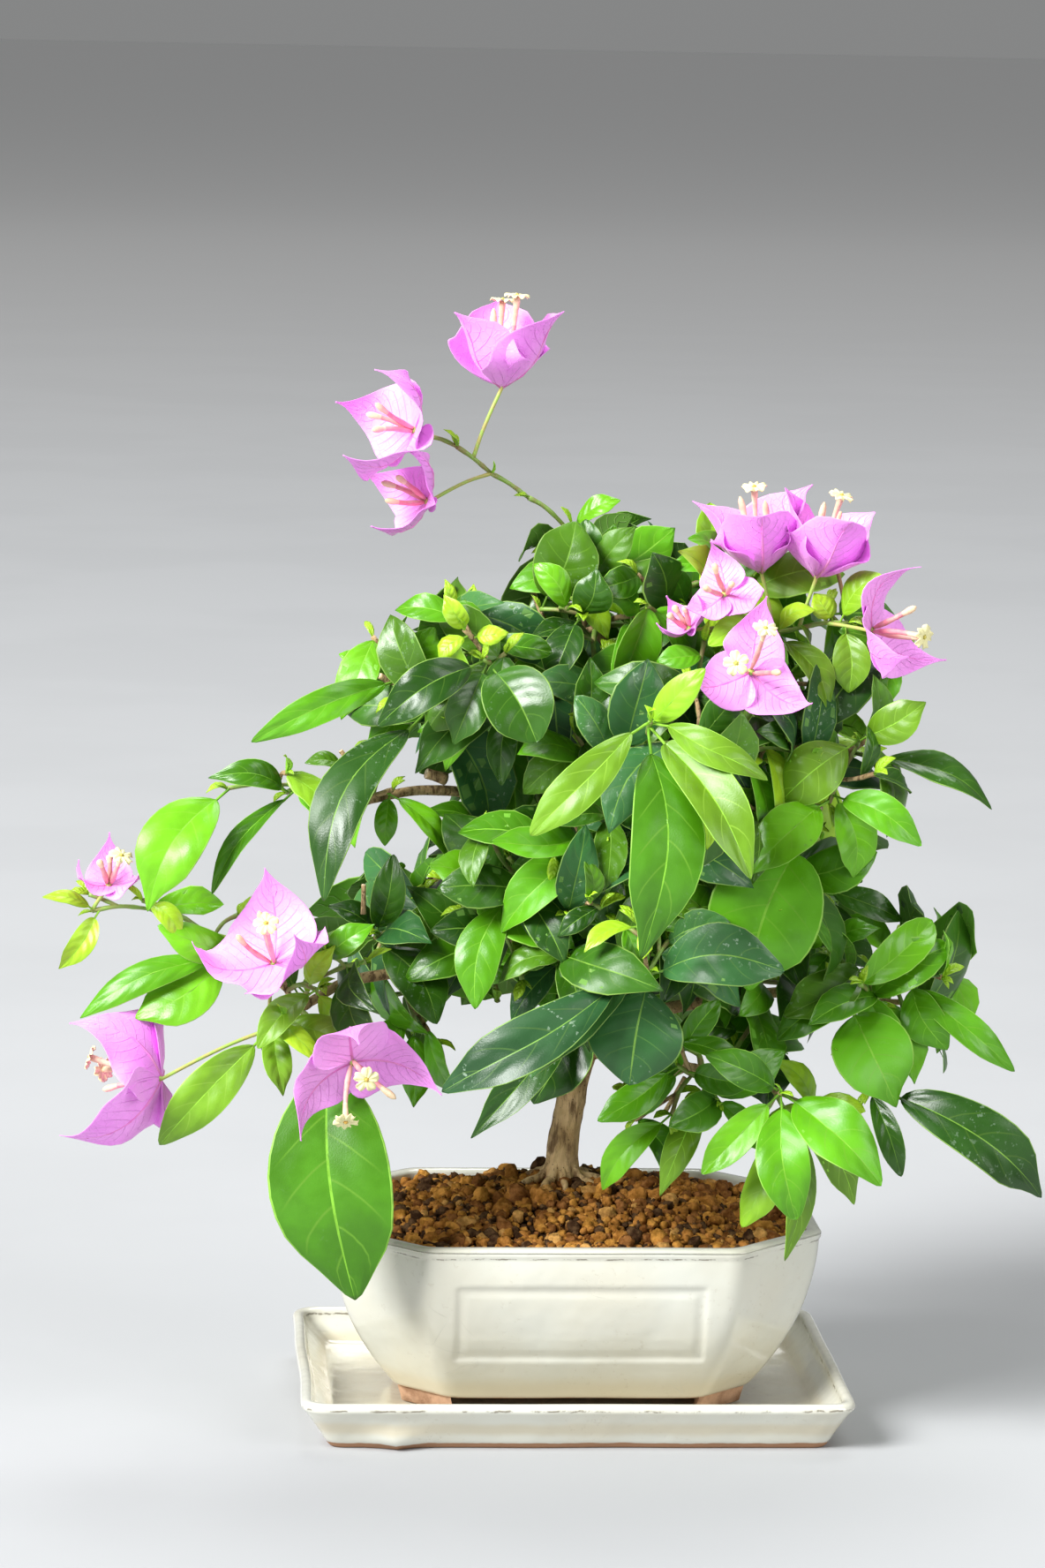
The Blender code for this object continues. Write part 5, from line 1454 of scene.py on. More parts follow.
Plant = namedtuple("Plant", "wood leaves blossoms fine")
FINE_MORE = {"crown_left": 0, "arm_left": 3, "middle": 14, "middle_left": 14, "high_right": 14, "right": 14}
FILLING = {"crown": 30, "middle": 28, "middle_left": 26, "high_left": 18, "high_right": 16,
           "right": 10, "mid_right": 12, "front_low": 14, "inner_left": 12, "low_right": 8,
           "back_low": 10, "back_left": 12, "back_middle": 14, "back_right": 14, "back_high": 16,
           "back_high_left": 14}
OLD_TONES = ("dark", "dark", "blue", "mid")
FILLING_TONES = {"right": ("mid", "lime", "mid", "lime"), "high_right": ("mid", "dark", "lime", "mid"),
                 "low_right": ("mid", "mid", "dark"), "mid_right": ("mid", "dark", "mid")}
FILLING_LEAVES = 4
FILLING_INWARD = 0.5
INWARD_SPARE = 0.014
BARE_TRUNK_MIDDLE = -0.006
BARE_TRUNK_REACH = 0.014
BARE_TRUNK_TOP = 0.128
LEANS_ASIDE = (0, 8, -8, 16, -16, 24, -24, 34, -34)
FILLING_LENGTH = (0.024, 0.042)
FILLING_SLIMNESS = (0.48, 0.64)
FILLING_TO_FRONT = 0.6
FRONT_BEFORE = -0.01
FINE_TONES = ("mid", "mid", "dark", "lime", "mid")
FINE_LEAVES = 3
FINE_LENGTH = (0.018, 0.038)
FINE_SLIMNESS = (0.44, 0.60)
FINE_REACH = (0.009, 0.019)
FINE_TO_FRONT = 0.5
BUD_LENGTH = (0.004, 0.011)
BUD_SLIMNESS = (0.32, 0.5)
BUD_FACE = Vector((0, -0.6, 0.8))
GROWN = []


def plant():
    """The whole plant, grown once: the source's rule first, then finer twigs."""
    if not GROWN:
        room = Room()
        for name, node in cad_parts.items():
            if not name.startswith("foliage_"):
                verts = [vert.co.copy() for vert in node.data.vertices]
                room.add(verts, [tuple(face.vertices) for face in node.data.polygons], name)
        wood, leaves, blossoms = grow_plant(room)
        fine = {name: [] for name in MASSES}
        count = bpy.context.scene.bonsai_leaves.fine_twigs
        for number, name in enumerate(MASSES):
            grow_filling(number, name, wood[name], fine[name], room)
            grow_fine(number, name, wood[name], fine[name], room, FINE_MORE.get(name, count))
        GROWN.append(Plant(wood, leaves, blossoms, fine))
    return GROWN[0]


def keeps_to_solid(name):
    """A test that a leaf's tip also stays within the reach of its mass's own solid."""
    in_space = keeps_to_space(name)
    verts = np.array([tuple(vert.co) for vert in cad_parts["foliage_" + name].data.vertices])
    low, high = verts.min(axis=0), verts.max(axis=0)
    foot = np.array(TRUNK_FOOT) * MM
    away = np.linalg.norm(np.array(MASSES[name][0][:2]) * MM - foot)
    low[:2] = np.minimum(low[:2], foot - INWARD_SPARE)
    high[:2] = np.maximum(high[:2], foot + INWARD_SPARE)

    def accept(leaf):
        tip = np.array(leaf.tip)
        inward = np.linalg.norm(tip[:2] - foot) < away and leaf.tip.z > LOWEST_LEAF
        return (inward or in_space(leaf)) and bool(np.all(tip > low) and np.all(tip < high))
    return accept


def grow_filling(number, name, paths, leaves, room):
    """Sprays of old leaves strewn through a mass's own space, behind its aimed ones."""
    accept = keeps_to_solid(name)
    rng = random.Random(SEED + 1000 * number + 700)
    middle, reach, _ = MASSES[name]
    for _ in range(FILLING.get(name, 0)):
        way = Vector((rng.gauss(0, 1), rng.gauss(0, 1), rng.gauss(0, 1))).normalized()
        share = rng.uniform(0.2, 1.0) ** 0.5
        node = Vector([(middle[axis] + way[axis] * reach[axis] * share) * MM for axis in range(3)])
        inward = rng.uniform(0, FILLING_INWARD)
        node.x += (TRUNK_FOOT[0] - middle[0]) * MM * inward
        node.y += (TRUNK_FOOT[1] - middle[1]) * MM * inward
        twig = grow_twig(rng, paths, node, room, name)
        if twig:
            facing = facing_of(twig[-1], twig[-1].y < FRONT_BEFORE and rng.random() < FILLING_TO_FRONT)
            grow_ring(rng, twig, facing, FILLING_TONES.get(name, OLD_TONES), FILLING_LEAVES, FILLING_LENGTH,
                      FILLING_SLIMNESS, room, accept, leaves)


def grow_fine(number, name, paths, leaves, room, count):
    """Finer twigs with small leaves in a mass's own space, and buds at the twigs' ends."""
    accept = keeps_to_solid(name)
    rng = random.Random(SEED + 1000 * number + 900)
    carried = [path for path in paths[1:] if len(path[0]) > 2]
    for _ in range(count if carried else 0):
        points = carried[rng.randrange(len(carried))][0]
        start = points[rng.randrange(1, len(points))]
        way = Vector((rng.uniform(-1, 1), rng.uniform(-1, 1), rng.uniform(-0.4, 1.1)))
        along = (points[-1] - points[0]).normalized()
        node = start + (way.normalized() + along * 0.5).normalized() * rng.uniform(*FINE_REACH)
        twig = grow_twig(rng, paths, node, room, name)
        if twig:
            facing = facing_of(twig[-1], rng.random() < FINE_TO_FRONT and twig[-1].y < 0)
            grow_ring(rng, twig, facing, FINE_TONES, FINE_LEAVES, FINE_LENGTH, FINE_SLIMNESS, room, accept,
                      leaves)
    for points, _, open_end in paths[1:]:
        if not open_end or name == "crown_left":
            leaves += grow_buds(rng, points)


def grow_buds(rng, points):
    """One to three small young leaves at a twig's end."""
    heading = (points[-1] - points[-2]).normalized()
    buds = []
    for _ in range(rng.choice((1, 2, 2, 3))):
        lean = Vector((rng.uniform(-1, 1), rng.uniform(-1, 1), rng.uniform(-0.2, 1.2)))
        way = (heading + lean * 0.75).normalized()
        length = rng.uniform(*BUD_LENGTH)
        normal = (BUD_FACE - way * way.dot(BUD_FACE)).normalized()
        buds.append(Leaf(points[-1], points[-1] + way * length, normal, length * rng.uniform(*BUD_SLIMNESS),
                         LEAF_ARCH, "lime", PLAIN_STATIONS))
    return buds


def bract_tree(grown):
    """The bracts of all blossoms as one body, so that leaves can keep clear of them."""
    sheaf = Sheaf("inner", "outer", "vein", "stalk", "tube", "tube_top", "star", "throat")
    take_blossoms(sheaf, grown, list(MASSES), bpy.context.scene.bonsai_blossoms)
    return BVHTree.FromPolygons(np.concatenate(sheaf.verts).tolist(), np.concatenate(sheaf.quads).tolist())


def crosses(tree, leaf, form):
    """Whether a leaf's blade would pass through the bracts."""
    along, across, _ = SMALL_BLADE
    half = blade_half(leaf, form, along)
    rows = blade_points(leaf, form, along, across, np.zeros((1, 1)), half)
    columns = len(across)
    corner = np.arange(len(rows) - 1)[:, None] * columns + np.arange(columns - 1)
    quads = np.stack([corner, corner + 1, corner + columns + 1, corner + columns], -1).reshape(-1, 4)
    blade = BVHTree.FromPolygons(rows.reshape(-1, 3).tolist(), quads.tolist())
    return bool(tree.overlap(blade))


def clear_of_bracts(tree, leaf, form, strewn):
    """A leaf that keeps clear of the bracts: as it is, flatter, tipped aside, or none if strewn."""
    if not crosses(tree, leaf, form):
        return leaf, form
    flat = form._replace(curl=form.curl * 0.3, wave=form.wave * 0.4, fold=form.fold * 0.6)
    _, _, side, face = blade_frame(leaf)
    for lean in LEANS_ASIDE:
        for about in (side, face):
            moved = leaf._replace(tip=leaf.root + turned(lean, Vector(about)) @ (leaf.tip - leaf.root))
            if not crosses(tree, moved, flat):
                return moved, flat
    return (None if strewn else leaf), flat


def hides_trunk(leaf):
    """Whether a leaf hangs before the bare foot of the trunk."""
    beside = abs(leaf.tip.x - BARE_TRUNK_MIDDLE) > BARE_TRUNK_REACH
    return leaf.tip.y < 0 and leaf.tip.z < BARE_TRUNK_TOP and not beside


def shade_of(leaf, rng):
    """A leaf, with its tone toned down if it is big, and its shade of that tone."""
    shade = rng.choice((0, 1, 1, 2))
    length = (leaf.tip - leaf.root).length
    if length > BIG_LEAF:
        return leaf._replace(tone="mid" if leaf.tone == "lime" else leaf.tone), 0
    if leaf.tone == "lime":
        shade = 0 if length > LONG_YOUNG_LEAF else 2 if length < SHORT_YOUNG_LEAF else shade
    return leaf, shade


def take_leaves(sheaf, grown, names, settings):
    """All leaves of some masses, each in a shade of its spray's tone."""
    tree = bract_tree(grown)
    for name in names:
        rng = random.Random(SEED + 7 * len(name) + ord(name[-1]))
        leaves = [(leaf, False) for leaf in grown.leaves[name]] + [(leaf, True) for leaf in grown.fine[name]]
        for leaf, strewn in leaves:
            form = leaf_form(rng, leaf, strewn)
            leaf, shade = shade_of(leaf, rng)
            looks = (f"{leaf.tone}_{shade}", "under_" + leaf.tone, "rib_" + leaf.tone, "margin_" + leaf.tone)
            form = form._replace(wave=settings.wave * rng.uniform(0.3, 1.2))
            leaf, form = clear_of_bracts(tree, leaf, form, strewn)
            if leaf and not (strewn and hides_trunk(leaf)):
                take_blade(sheaf, leaf, form, settings.thickness, looks)


BRACT_ALONG = np.array((0, .015, .04, .08, .14, .2, .27, .35, .43, .51, .6, .68, .76, .83, .89,
                        .94, .98, 1.0))
BRACT_UPPER = np.array((-1, -.96, -.8, -.6, -.4, -.2, -.03, .03, .2, .4, .6, .8, .96, 1))
BRACT_LOWER = BRACT_UPPER[::-1]
BRACT_RIBS = np.array((0.0, 0.2, 0.4, 0.6, 0.8))
BRACT_RIB_RADII = (0.0006, 0.0005, 0.0004, 0.00025, 0.0001)
# By the blossoms' order: open stars, size, and for some: turn, wider opening, swing, breadth
OPEN_STARS = (2, 0, 0, 1, 1, 0, 0, 2, 1, 1, 1, 2, 2)
BLOSSOM_SHARES = (0.96, 0.97, 0.84, 0.98, 0.98, 0.90, 0.92, 0.84, 0.90, 0.96, 0.92, 0.98, 0.90)
BRACT_TURNS = {0: 60, 7: -32, 8: -20, 11: 30}
BRACTS_WIDER_OPEN = {0: -17, 3: -11, 4: -11, 6: 8, 10: 6}
BLOSSOM_SWINGS = {11: -26}
CUP_SHAPED = (0, 3, 4)
CUP_TUBES = 1.35
SHUT_SHARE = 0.86
BRACT_BROAD = 1.18
BRACTS_BROADER = {0: 1.42, 1: 1.42, 3: 1.42, 4: 1.42, 10: 1.45, 11: 1.45}
# A tube flower: places up it, its girth there when open or shut, and its colours
TUBE_PLACES = (0.0, 0.12, 0.3, 0.5, 0.7, 0.86, 0.95, 1.0)
OPEN_GIRTHS = (0.5, 0.85, 1.05, 0.85, 0.8, 1.0, 1.2, 1.1)
SHUT_GIRTHS = (0.5, 0.85, 1.05, 0.85, 0.9, 1.25, 1.0, 0.3)
TUBE_LOOKS = ("tube", "tube", "tube", "tube", "tube_top", "tube_top", "tube_top")
TUBE_RADIUS = 0.00105
STAR_SIDES = 60
STAR_THICKNESS = 0.00025


def take_bract(sheaf, bract, cupped, rng, settings):
    """One papery bract: broad at its foot, wavy at its edge, with a pointed tip."""
    form = LeafForm(0.0, fold=math.radians(rng.uniform(4, 16)), cup=rng.uniform(-0.02, 0.14) - 0.5 * cupped,
                    wave=rng.uniform(0.10, 0.17), phase=rng.uniform(0, math.tau), waves=rng.uniform(1.1, 1.9),
                    sway=rng.uniform(-0.05, 0.05), curl=rng.uniform(-0.5, 0.1) + 1.9 * cupped,
                    twist=rng.uniform(-0.25, 0.25), tip=rng.uniform(0.85, 1.05), base=rng.uniform(0.36, 0.43),
                    point=rng.uniform(0.2, 0.4))
    if cupped:
        form = form._replace(base=form.base * 0.62, tip=form.tip * 0.80, point=0.55)
    else:
        form = form._replace(base=form.base * 0.76, tip=form.tip * 1.36)
    half = np.maximum(blade_half(bract, form, BRACT_ALONG), 0.0003)
    rows, thick = len(BRACT_ALONG), settings.thickness
    top = blade_points(bract, form, BRACT_ALONG, BRACT_UPPER, np.zeros((rows, 1)), half)
    below = blade_points(bract, form, BRACT_ALONG, BRACT_LOWER, np.full((rows, 1), thick), half)
    inner, outer, vein = (sheaf.looks[look] for look in ("inner", "outer", "vein"))
    strips = [inner] * 6 + [vein] + [inner] * 6 + [outer] * 7 + [vein] + [outer] * 7
    share = np.concatenate([BRACT_UPPER, BRACT_LOWER]) * 0.5 + 0.5
    ring_uvs = np.stack(np.broadcast_arrays(share[None, :], BRACT_ALONG[:, None]), -1)
    sheaf.loft(np.concatenate([top, below], axis=1), strips, ring_uvs=ring_uvs)
    count = len(BRACT_RIBS)
    spine = blade_points(bract, form, BRACT_RIBS, np.array((0.0,)), np.full((count, 1), thick * 1.3),
                         np.full(count, thick))[:, 0]
    sheaf.loft(tube_rings(spine, BRACT_RIB_RADII, 5), vein)


def take_flower(sheaf, start, way, length, opened, rng, settings):
    """A slim tube flower: shut like a bud, or open in a ruffled five-lobed star."""
    bend = any_way(rng) * length * 0.05
    points = [start + way * length * share + bend * math.sin(math.pi * share) for share in TUBE_PLACES]
    radii = [TUBE_RADIUS * girth for girth in (OPEN_GIRTHS if opened else SHUT_GIRTHS)]
    sheaf.loft(tube_rings(points, radii, 10), np.array([sheaf.looks[look] for look in TUBE_LOOKS])[:, None])
    if opened:
        take_star(sheaf, points[-1], unit(np.array(points[-1] - points[-2])), rng, settings)


def take_star(sheaf, mouth, head, rng, settings):
    """The five-lobed star at a tube's mouth, with its throat."""
    across = unit(np.cross(head, (0.2, 0.5, 0.8)))
    up = np.cross(head, across)
    turns = np.arange(STAR_SIDES) * math.tau / STAR_SIDES
    lobe = np.abs(np.cos(turns * 2.5)) ** 0.55
    notch = 0.10 * np.exp(-(((turns * 2.5 / math.pi + 0.5) % 1 - 0.5) / 0.09) ** 2)
    reach = settings.star_radius * (0.52 + 0.48 * lobe - notch)
    shares = np.array((0.22, 0.4, 0.6, 0.8, 1.0))
    ruffle = 0.14 * np.sin(turns * 10 + rng.uniform(0, 6)) * shares[:, None] ** 2
    lift = 0.05 + 0.45 * shares[:, None] - 0.42 * shares[:, None] ** 2 + ruffle * 0.8
    around = np.cos(turns)[None, :, None] * across + np.sin(turns)[None, :, None] * up
    spots = around * (reach * shares[:, None])[..., None]
    top = np.array(mouth) + spots + head * (lift * settings.star_radius)[..., None]
    below = top - head * STAR_THICKNESS
    rings = np.concatenate([below, top[::-1]], axis=0)
    sheaf.loft(rings, sheaf.looks["star"], far_look=sheaf.looks["throat"])
    middle = Vector(mouth + Vector(head) * 0.0003)
    rings = tube_rings([middle, middle + Vector(head) * 0.0007, middle + Vector(head) * 0.001],
                       [0.0006, 0.0006, 0.0003], 8)
    sheaf.loft(rings, sheaf.looks["throat"])


def settled_bract(blossom, bract, order, axis):
    """A bract as it really stands: turned, swung, opened and broadened for its blossom."""
    turn = turned(BLOSSOM_SWINGS.get(order, 0), "Z") @ turned(BRACT_TURNS.get(order, 0), blossom.axis)
    root = blossom.base + turn @ (bract.root - blossom.base)
    span = turn @ (bract.tip - bract.root) * BLOSSOM_SHARES[order]
    wider = turned(BRACTS_WIDER_OPEN.get(order, 0), axis.cross(span).normalized())
    size = bract.width * BLOSSOM_SHARES[order] * BRACTS_BROADER.get(order, BRACT_BROAD)
    return bract._replace(root=root, tip=root + wider @ span, normal=wider @ turn @ bract.normal, width=size)


def take_blossoms(sheaf, grown, names, settings):
    """All blossoms of some masses: stalk, three bracts and three tube flowers."""
    order_of = {}
    for order, row in enumerate(BLOSSOMS):
        order_of.setdefault(row[0], []).append(order)
    for name in names:
        for blossom, order in zip(grown.blossoms[name], order_of.get(name, ())):
            rng = random.Random(SEED + 4000 + order)
            path, sizes = fine_path(blossom.stalk, [STALK_RADIUS * 1.15] + [STALK_RADIUS] * STALK_STEPS, 4)
            path.append(blossom.base + blossom.axis * RECEPTACLE_LENGTH)
            sizes.append(RECEPTACLE_RADIUS * 0.9)
            sheaf.loft(tube_rings(path, sizes, 8), sheaf.looks["stalk"])
            cupped = order in CUP_SHAPED
            axis = turned(BLOSSOM_SWINGS.get(order, 0), "Z") @ blossom.axis
            for index, bract in enumerate(blossom.bracts):
                bract = settled_bract(blossom, bract, order, axis)
                take_bract(sheaf, bract, cupped, rng, settings)
                out = (bract.tip - bract.root).normalized()
                way = (out * 0.55 + axis * 0.75).normalized()
                start = blossom.base + axis * RECEPTACLE_LENGTH * 0.6 + out * 0.0012
                length = blossom.length * rng.uniform(0.56, 0.66) * (CUP_TUBES if cupped else 1.0)
                opened = index < OPEN_STARS[order]
                if not opened:
                    length *= SHUT_SHARE
                take_flower(sheaf, start, way, length, opened, rng, settings)


def bract_finish(name, base):
    """A papery bract with a soft sheen, raised veins and a fine net between them."""
    look = Finish(name, base, 0.6, Sheen_Weight=0.5, Sheen_Roughness=0.4, Sheen_Tint=SHEEN_TINT)
    veins = look.group("side_veins", Pairs=9.0, Width=0.07, Slope=0.30)
    net = look.group("hairlines", Scale=330.0, Width=0.05, Patches=0.3)
    tint = look.group("mottle", Scale=45.0, Low=0.3, High=0.7, Base=scaled(base, 0.93),
                      Second=mixed(base, BRACT_PALE, 0.22))
    look.colour(look.mix(veins["Mask"], tint["Color"], mixed(base, BRACT_VEIN, 0.10)))
    look.rough(tint["Mask"], 0.52, 0.68)
    look.bump((veins["Mask"], 0.0002), (net["Mask"], 0.00008))
    return look.material


def blossom_finishes(settings):
    """Bracts inside and outside, their veins, stalks, tubes and stars."""
    star = tuple(settings.star)
    made = {"inner": bract_finish("bract_inner", tuple(settings.inside)),
            "outer": bract_finish("bract_outer", tuple(settings.bract))}
    for name, (colour, second, rough) in {**FLOWER_PARTS, "star": (star, scaled(star, 0.86), 0.6)}.items():
        patches = dict(Scale=260.0, Base=colour, Second=second)
        made[name] = mottled_finish("flower_" + name, colour, (rough - 0.06, rough + 0.06), patches,
                                    (1400.0, 3.0, 0.00008))
    return made


# ---------------------------------------------------------------- pot and tray

POT_SIDE_STEPS = (6, 112, 6, 64, 6, 112, 6, 64)
POT_BEND_STEPS = 8
POT_BEND = 0.0042
PANEL_HALF = (0.0455, 0.0148)
PANEL_MIDDLE = 0.0453
LIP_DROP = 0.0034
LIP_STAND = 0.0007
PANEL_FRAME = 0.0032
PANEL_RAISED = 0.45
CORNER_SIGNS = ((1, 1), (-1, 1), (-1, -1), (1, -1))
# Levels of a foot above the tray's floor, and how far it is drawn in at each
FOOT_LEVELS = ((0.0, 0.945), (0.0005, 0.958), (0.003, 0.968), (0.006, 0.982), (0.0085, 0.985))
FOOT_BEND = 0.0024
TRAY_SIDE_STEPS = (26, 36, 26, 36)
TRAY_BEND_STEPS = 10
DRIP_X = -0.0665
DRIP_Z = 0.0040
DRIP_HALF_WIDTH = 0.0060
DRIP_HALF_HEIGHT = 0.0046
DRIP_STAND = 0.0046
DRIP_ROWS_ON_RIM = 3


def fine_outline(corners, reach, bend_steps, side_steps, height):
    """A ring round some corners, rounded off, with more points along each straight side."""
    bends = []
    for index, corner in enumerate(corners):
        before = (corners[index - 1] - corner).normalized() * reach
        after = (corners[(index + 1) % len(corners)] - corner).normalized() * reach
        shares = [step / (bend_steps - 1) for step in range(bend_steps)]
        bends.append([corner + before * (1 - share) ** 2 + after * share ** 2 for share in shares])
    ring = []
    for index, (bend, count) in enumerate(zip(bends, side_steps)):
        following = bends[(index + 1) % len(bends)][0]
        ring += bend
        ring += [bend[-1].lerp(following, step / (count + 1)) for step in range(1, count + 1)]
    return np.array([(point.x, point.y, height) for point in ring])


def pot_line(height, inset):
    """One level of the pot with all its points."""
    level = min(max((height - POT_BASE) / (POT_TOP - POT_BASE), 0.0), 1.0)
    swell = 1 - (1 - level) ** POT_BELLY
    half_length = (POT_BASE_LENGTH + (POT_LENGTH - POT_BASE_LENGTH) * swell) / 2 - inset
    half_depth = (POT_BASE_DEPTH + (POT_DEPTH - POT_BASE_DEPTH) * swell) / 2 - inset
    cut = POT_BASE_CUT + (POT_CORNER_CUT - POT_BASE_CUT) * swell - inset * 0.6
    corners = []
    for x, y in CORNER_SIGNS:
        on_end = Vector((half_length * x, (half_depth - cut) * y, 0))
        on_side = Vector(((half_length - cut) * x, half_depth * y, 0))
        corners += [on_end, on_side] if x * y > 0 else [on_side, on_end]
    return fine_outline(corners, min(POT_BEND, cut * 0.42), POT_BEND_STEPS, POT_SIDE_STEPS, height)


def wobble(rings, size, scale):
    """Rings moved in and out a little, as thick glaze lies."""
    made = rings.copy()
    for row in made:
        for index, point in enumerate(row):
            out = Vector((point[0], point[1], 0)).normalized()
            row[index] += np.array(out) * noise.noise(Vector(point) * scale) * size
    return made


def pot_rows():
    """The pot's levels, each with its inset: up its outside, over its lip and down inside."""
    span = POT_TOP - POT_BASE
    half = POT_WALL / 2
    return [
        (POT_BASE, 0.004), (POT_BASE + 0.0003, 0.0016), (POT_BASE + 0.0011, 0.0003),
        *((POT_BASE + span * share, 0.0) for share in np.linspace(0.035, 0.935, 58)),
        *((POT_TOP - LIP_DROP * share, 0.0) for share in (0.9, 0.75, 0.6, 0.45)),
        *((POT_TOP - 0.0016 + 0.0016 * math.sin(turn), half - half * math.cos(turn))
          for turn in np.linspace(0, math.pi, 9)),
        (POT_TOP - 0.0035, POT_WALL), (POT_TOP - 0.006, POT_WALL), (POT_TOP - 0.011, POT_WALL),
    ]


def within_panel(x, height, frame_width, before, after):
    """1 within the panel, less a frame of some width, and 0 outside it, softly."""
    return (soft_step(PANEL_HALF[0] - frame_width - np.abs(x), before, after)
            * soft_step(PANEL_HALF[1] - frame_width - abs(height - PANEL_MIDDLE), before, after))


def take_pot(sheaf, settings):
    """The pot's body with its framed panels, and its four bare feet."""
    rings = []
    for height, inset in pot_rows():
        ring = pot_line(height, inset)
        x, y = ring[:, 0], ring[:, 1]
        front = soft_step(np.abs(y), np.abs(y).max() - 0.0012, np.abs(y).max() - 0.0004)
        sunk = within_panel(x, height, 0.0, -0.0010, 0.0012)
        raised = within_panel(x, height, PANEL_FRAME, -0.0012, 0.0014)
        ring[:, 1] -= np.sign(y) * front * sunk * settings.panel_depth * (1 - PANEL_RAISED * raised)
        lip = soft_step(height, POT_TOP - LIP_DROP - 0.0008, POT_TOP - LIP_DROP + 0.0006)
        lip *= inset < POT_WALL / 2
        ring += unit(ring * (1, 1, 0)) * (lip - 0.15) * LIP_STAND
        rings.append(ring)
    sheaf.loft(wobble(np.array(rings), 0.0005, 38.0), sheaf.looks["glaze"], near_look=sheaf.looks["clay"])
    for x, y in CORNER_SIGNS:
        take_foot(sheaf, x, y)


def take_foot(sheaf, x, y):
    """One of the pot's bare feet, at the corner with these signs."""
    half_length, half_depth = POT_BASE_LENGTH / 2, POT_BASE_DEPTH / 2
    far_x, far_y = half_length - FOOT_WIDTH, half_depth - FOOT_WIDTH
    outline = [
        (half_length, far_y - FOOT_REACH), (half_length, half_depth - POT_BASE_CUT),
        (half_length - POT_BASE_CUT, half_depth), (far_x - FOOT_REACH, half_depth),
        (far_x - FOOT_REACH, far_y), (far_x, far_y - FOOT_REACH)]
    if x * y < 0:
        outline.reverse()
    corners = [Vector((across * x, away * y, 0)) for across, away in outline]
    rings = [fine_outline([corner * shrink for corner in corners], FOOT_BEND, 5, (3,) * 6,
                          TRAY_FLOOR + CLEARANCE + height) for height, shrink in FOOT_LEVELS]
    sheaf.loft(np.array(rings), sheaf.looks["clay"])


def tray_line(inset, height):
    """One level of the tray with all its points."""
    half_length = TRAY_LENGTH / 2 - inset
    half_depth = TRAY_DEPTH / 2 - inset
    corners = [Vector((half_length * x, half_depth * y, 0)) for x, y in CORNER_SIGNS]
    reach = max(TRAY_CORNER - inset / 2, 0.004)
    return fine_outline(corners, reach, TRAY_BEND_STEPS, TRAY_SIDE_STEPS, height)


def tray_rows():
    """The tray's rows as (inset, height): up its outside and over its rim, then its inside."""
    half = TRAY_RIM / 2
    roll = TRAY_HEIGHT - 0.0024
    wall = TRAY_SLOPE + TRAY_RIM * 0.8
    rise = TRAY_HEIGHT - 0.0030
    outside = [
        (TRAY_SLOPE + 0.0010, 0.0), (TRAY_SLOPE + 0.0002, 0.0003), (TRAY_SLOPE - 0.0004, 0.0010),
        (TRAY_SLOPE - 0.0009, 0.0019), (TRAY_SLOPE - 0.0014, 0.0024),
        *((TRAY_SLOPE * (0.84 - 0.84 * share), 0.0024 + (TRAY_HEIGHT - 0.0050) * share ** 0.86)
          for share in np.linspace(0.06, 1.0, 14)),
    ]
    inside = [
        *((half - half * math.cos(turn), roll + 0.0024 * math.sin(turn) ** 0.8)
          for turn in np.linspace(0.12, math.pi - 0.1, 10)),
        *((TRAY_RIM + (wall - TRAY_RIM) * share, rise - (rise - TRAY_FLOOR) * (share ** 0.92))
          for share in np.linspace(0.06, 0.9, 9)),
        (wall + 0.0012, TRAY_FLOOR + 0.0004), (wall + 0.0035, TRAY_FLOOR),
        (wall + 0.012, TRAY_FLOOR - 0.0001), (wall + 0.03, TRAY_FLOOR),
    ]
    return outside, inside


def take_tray(sheaf):
    """The drip tray: sloping walls, a rolled rim, a flat floor and a drip of thick glaze."""
    outside, inside = tray_rows()
    rings = np.array([tray_line(inset, height) for inset, height in outside + inside])
    dripping = (np.arange(len(rings)) < len(outside) + DRIP_ROWS_ON_RIM)[:, None]
    front = soft_step(-rings[..., 1], 0.050, 0.060)
    side = (rings[..., 0] - DRIP_X) / DRIP_HALF_WIDTH
    down = (rings[..., 2] - DRIP_Z) / DRIP_HALF_HEIGHT
    drip = DRIP_STAND * np.exp(-side ** 2 - down ** 2) * front * dripping * (rings[..., 2] > 0.0002)
    rings[..., 1] -= drip
    rings[..., 2] -= drip * 0.12
    rings = wobble(rings, 0.0006, 30.0)
    rings[0, :, 2] = 0.0
    sheaf.loft(rings, sheaf.looks["glaze"], near_look=sheaf.looks["clay"])


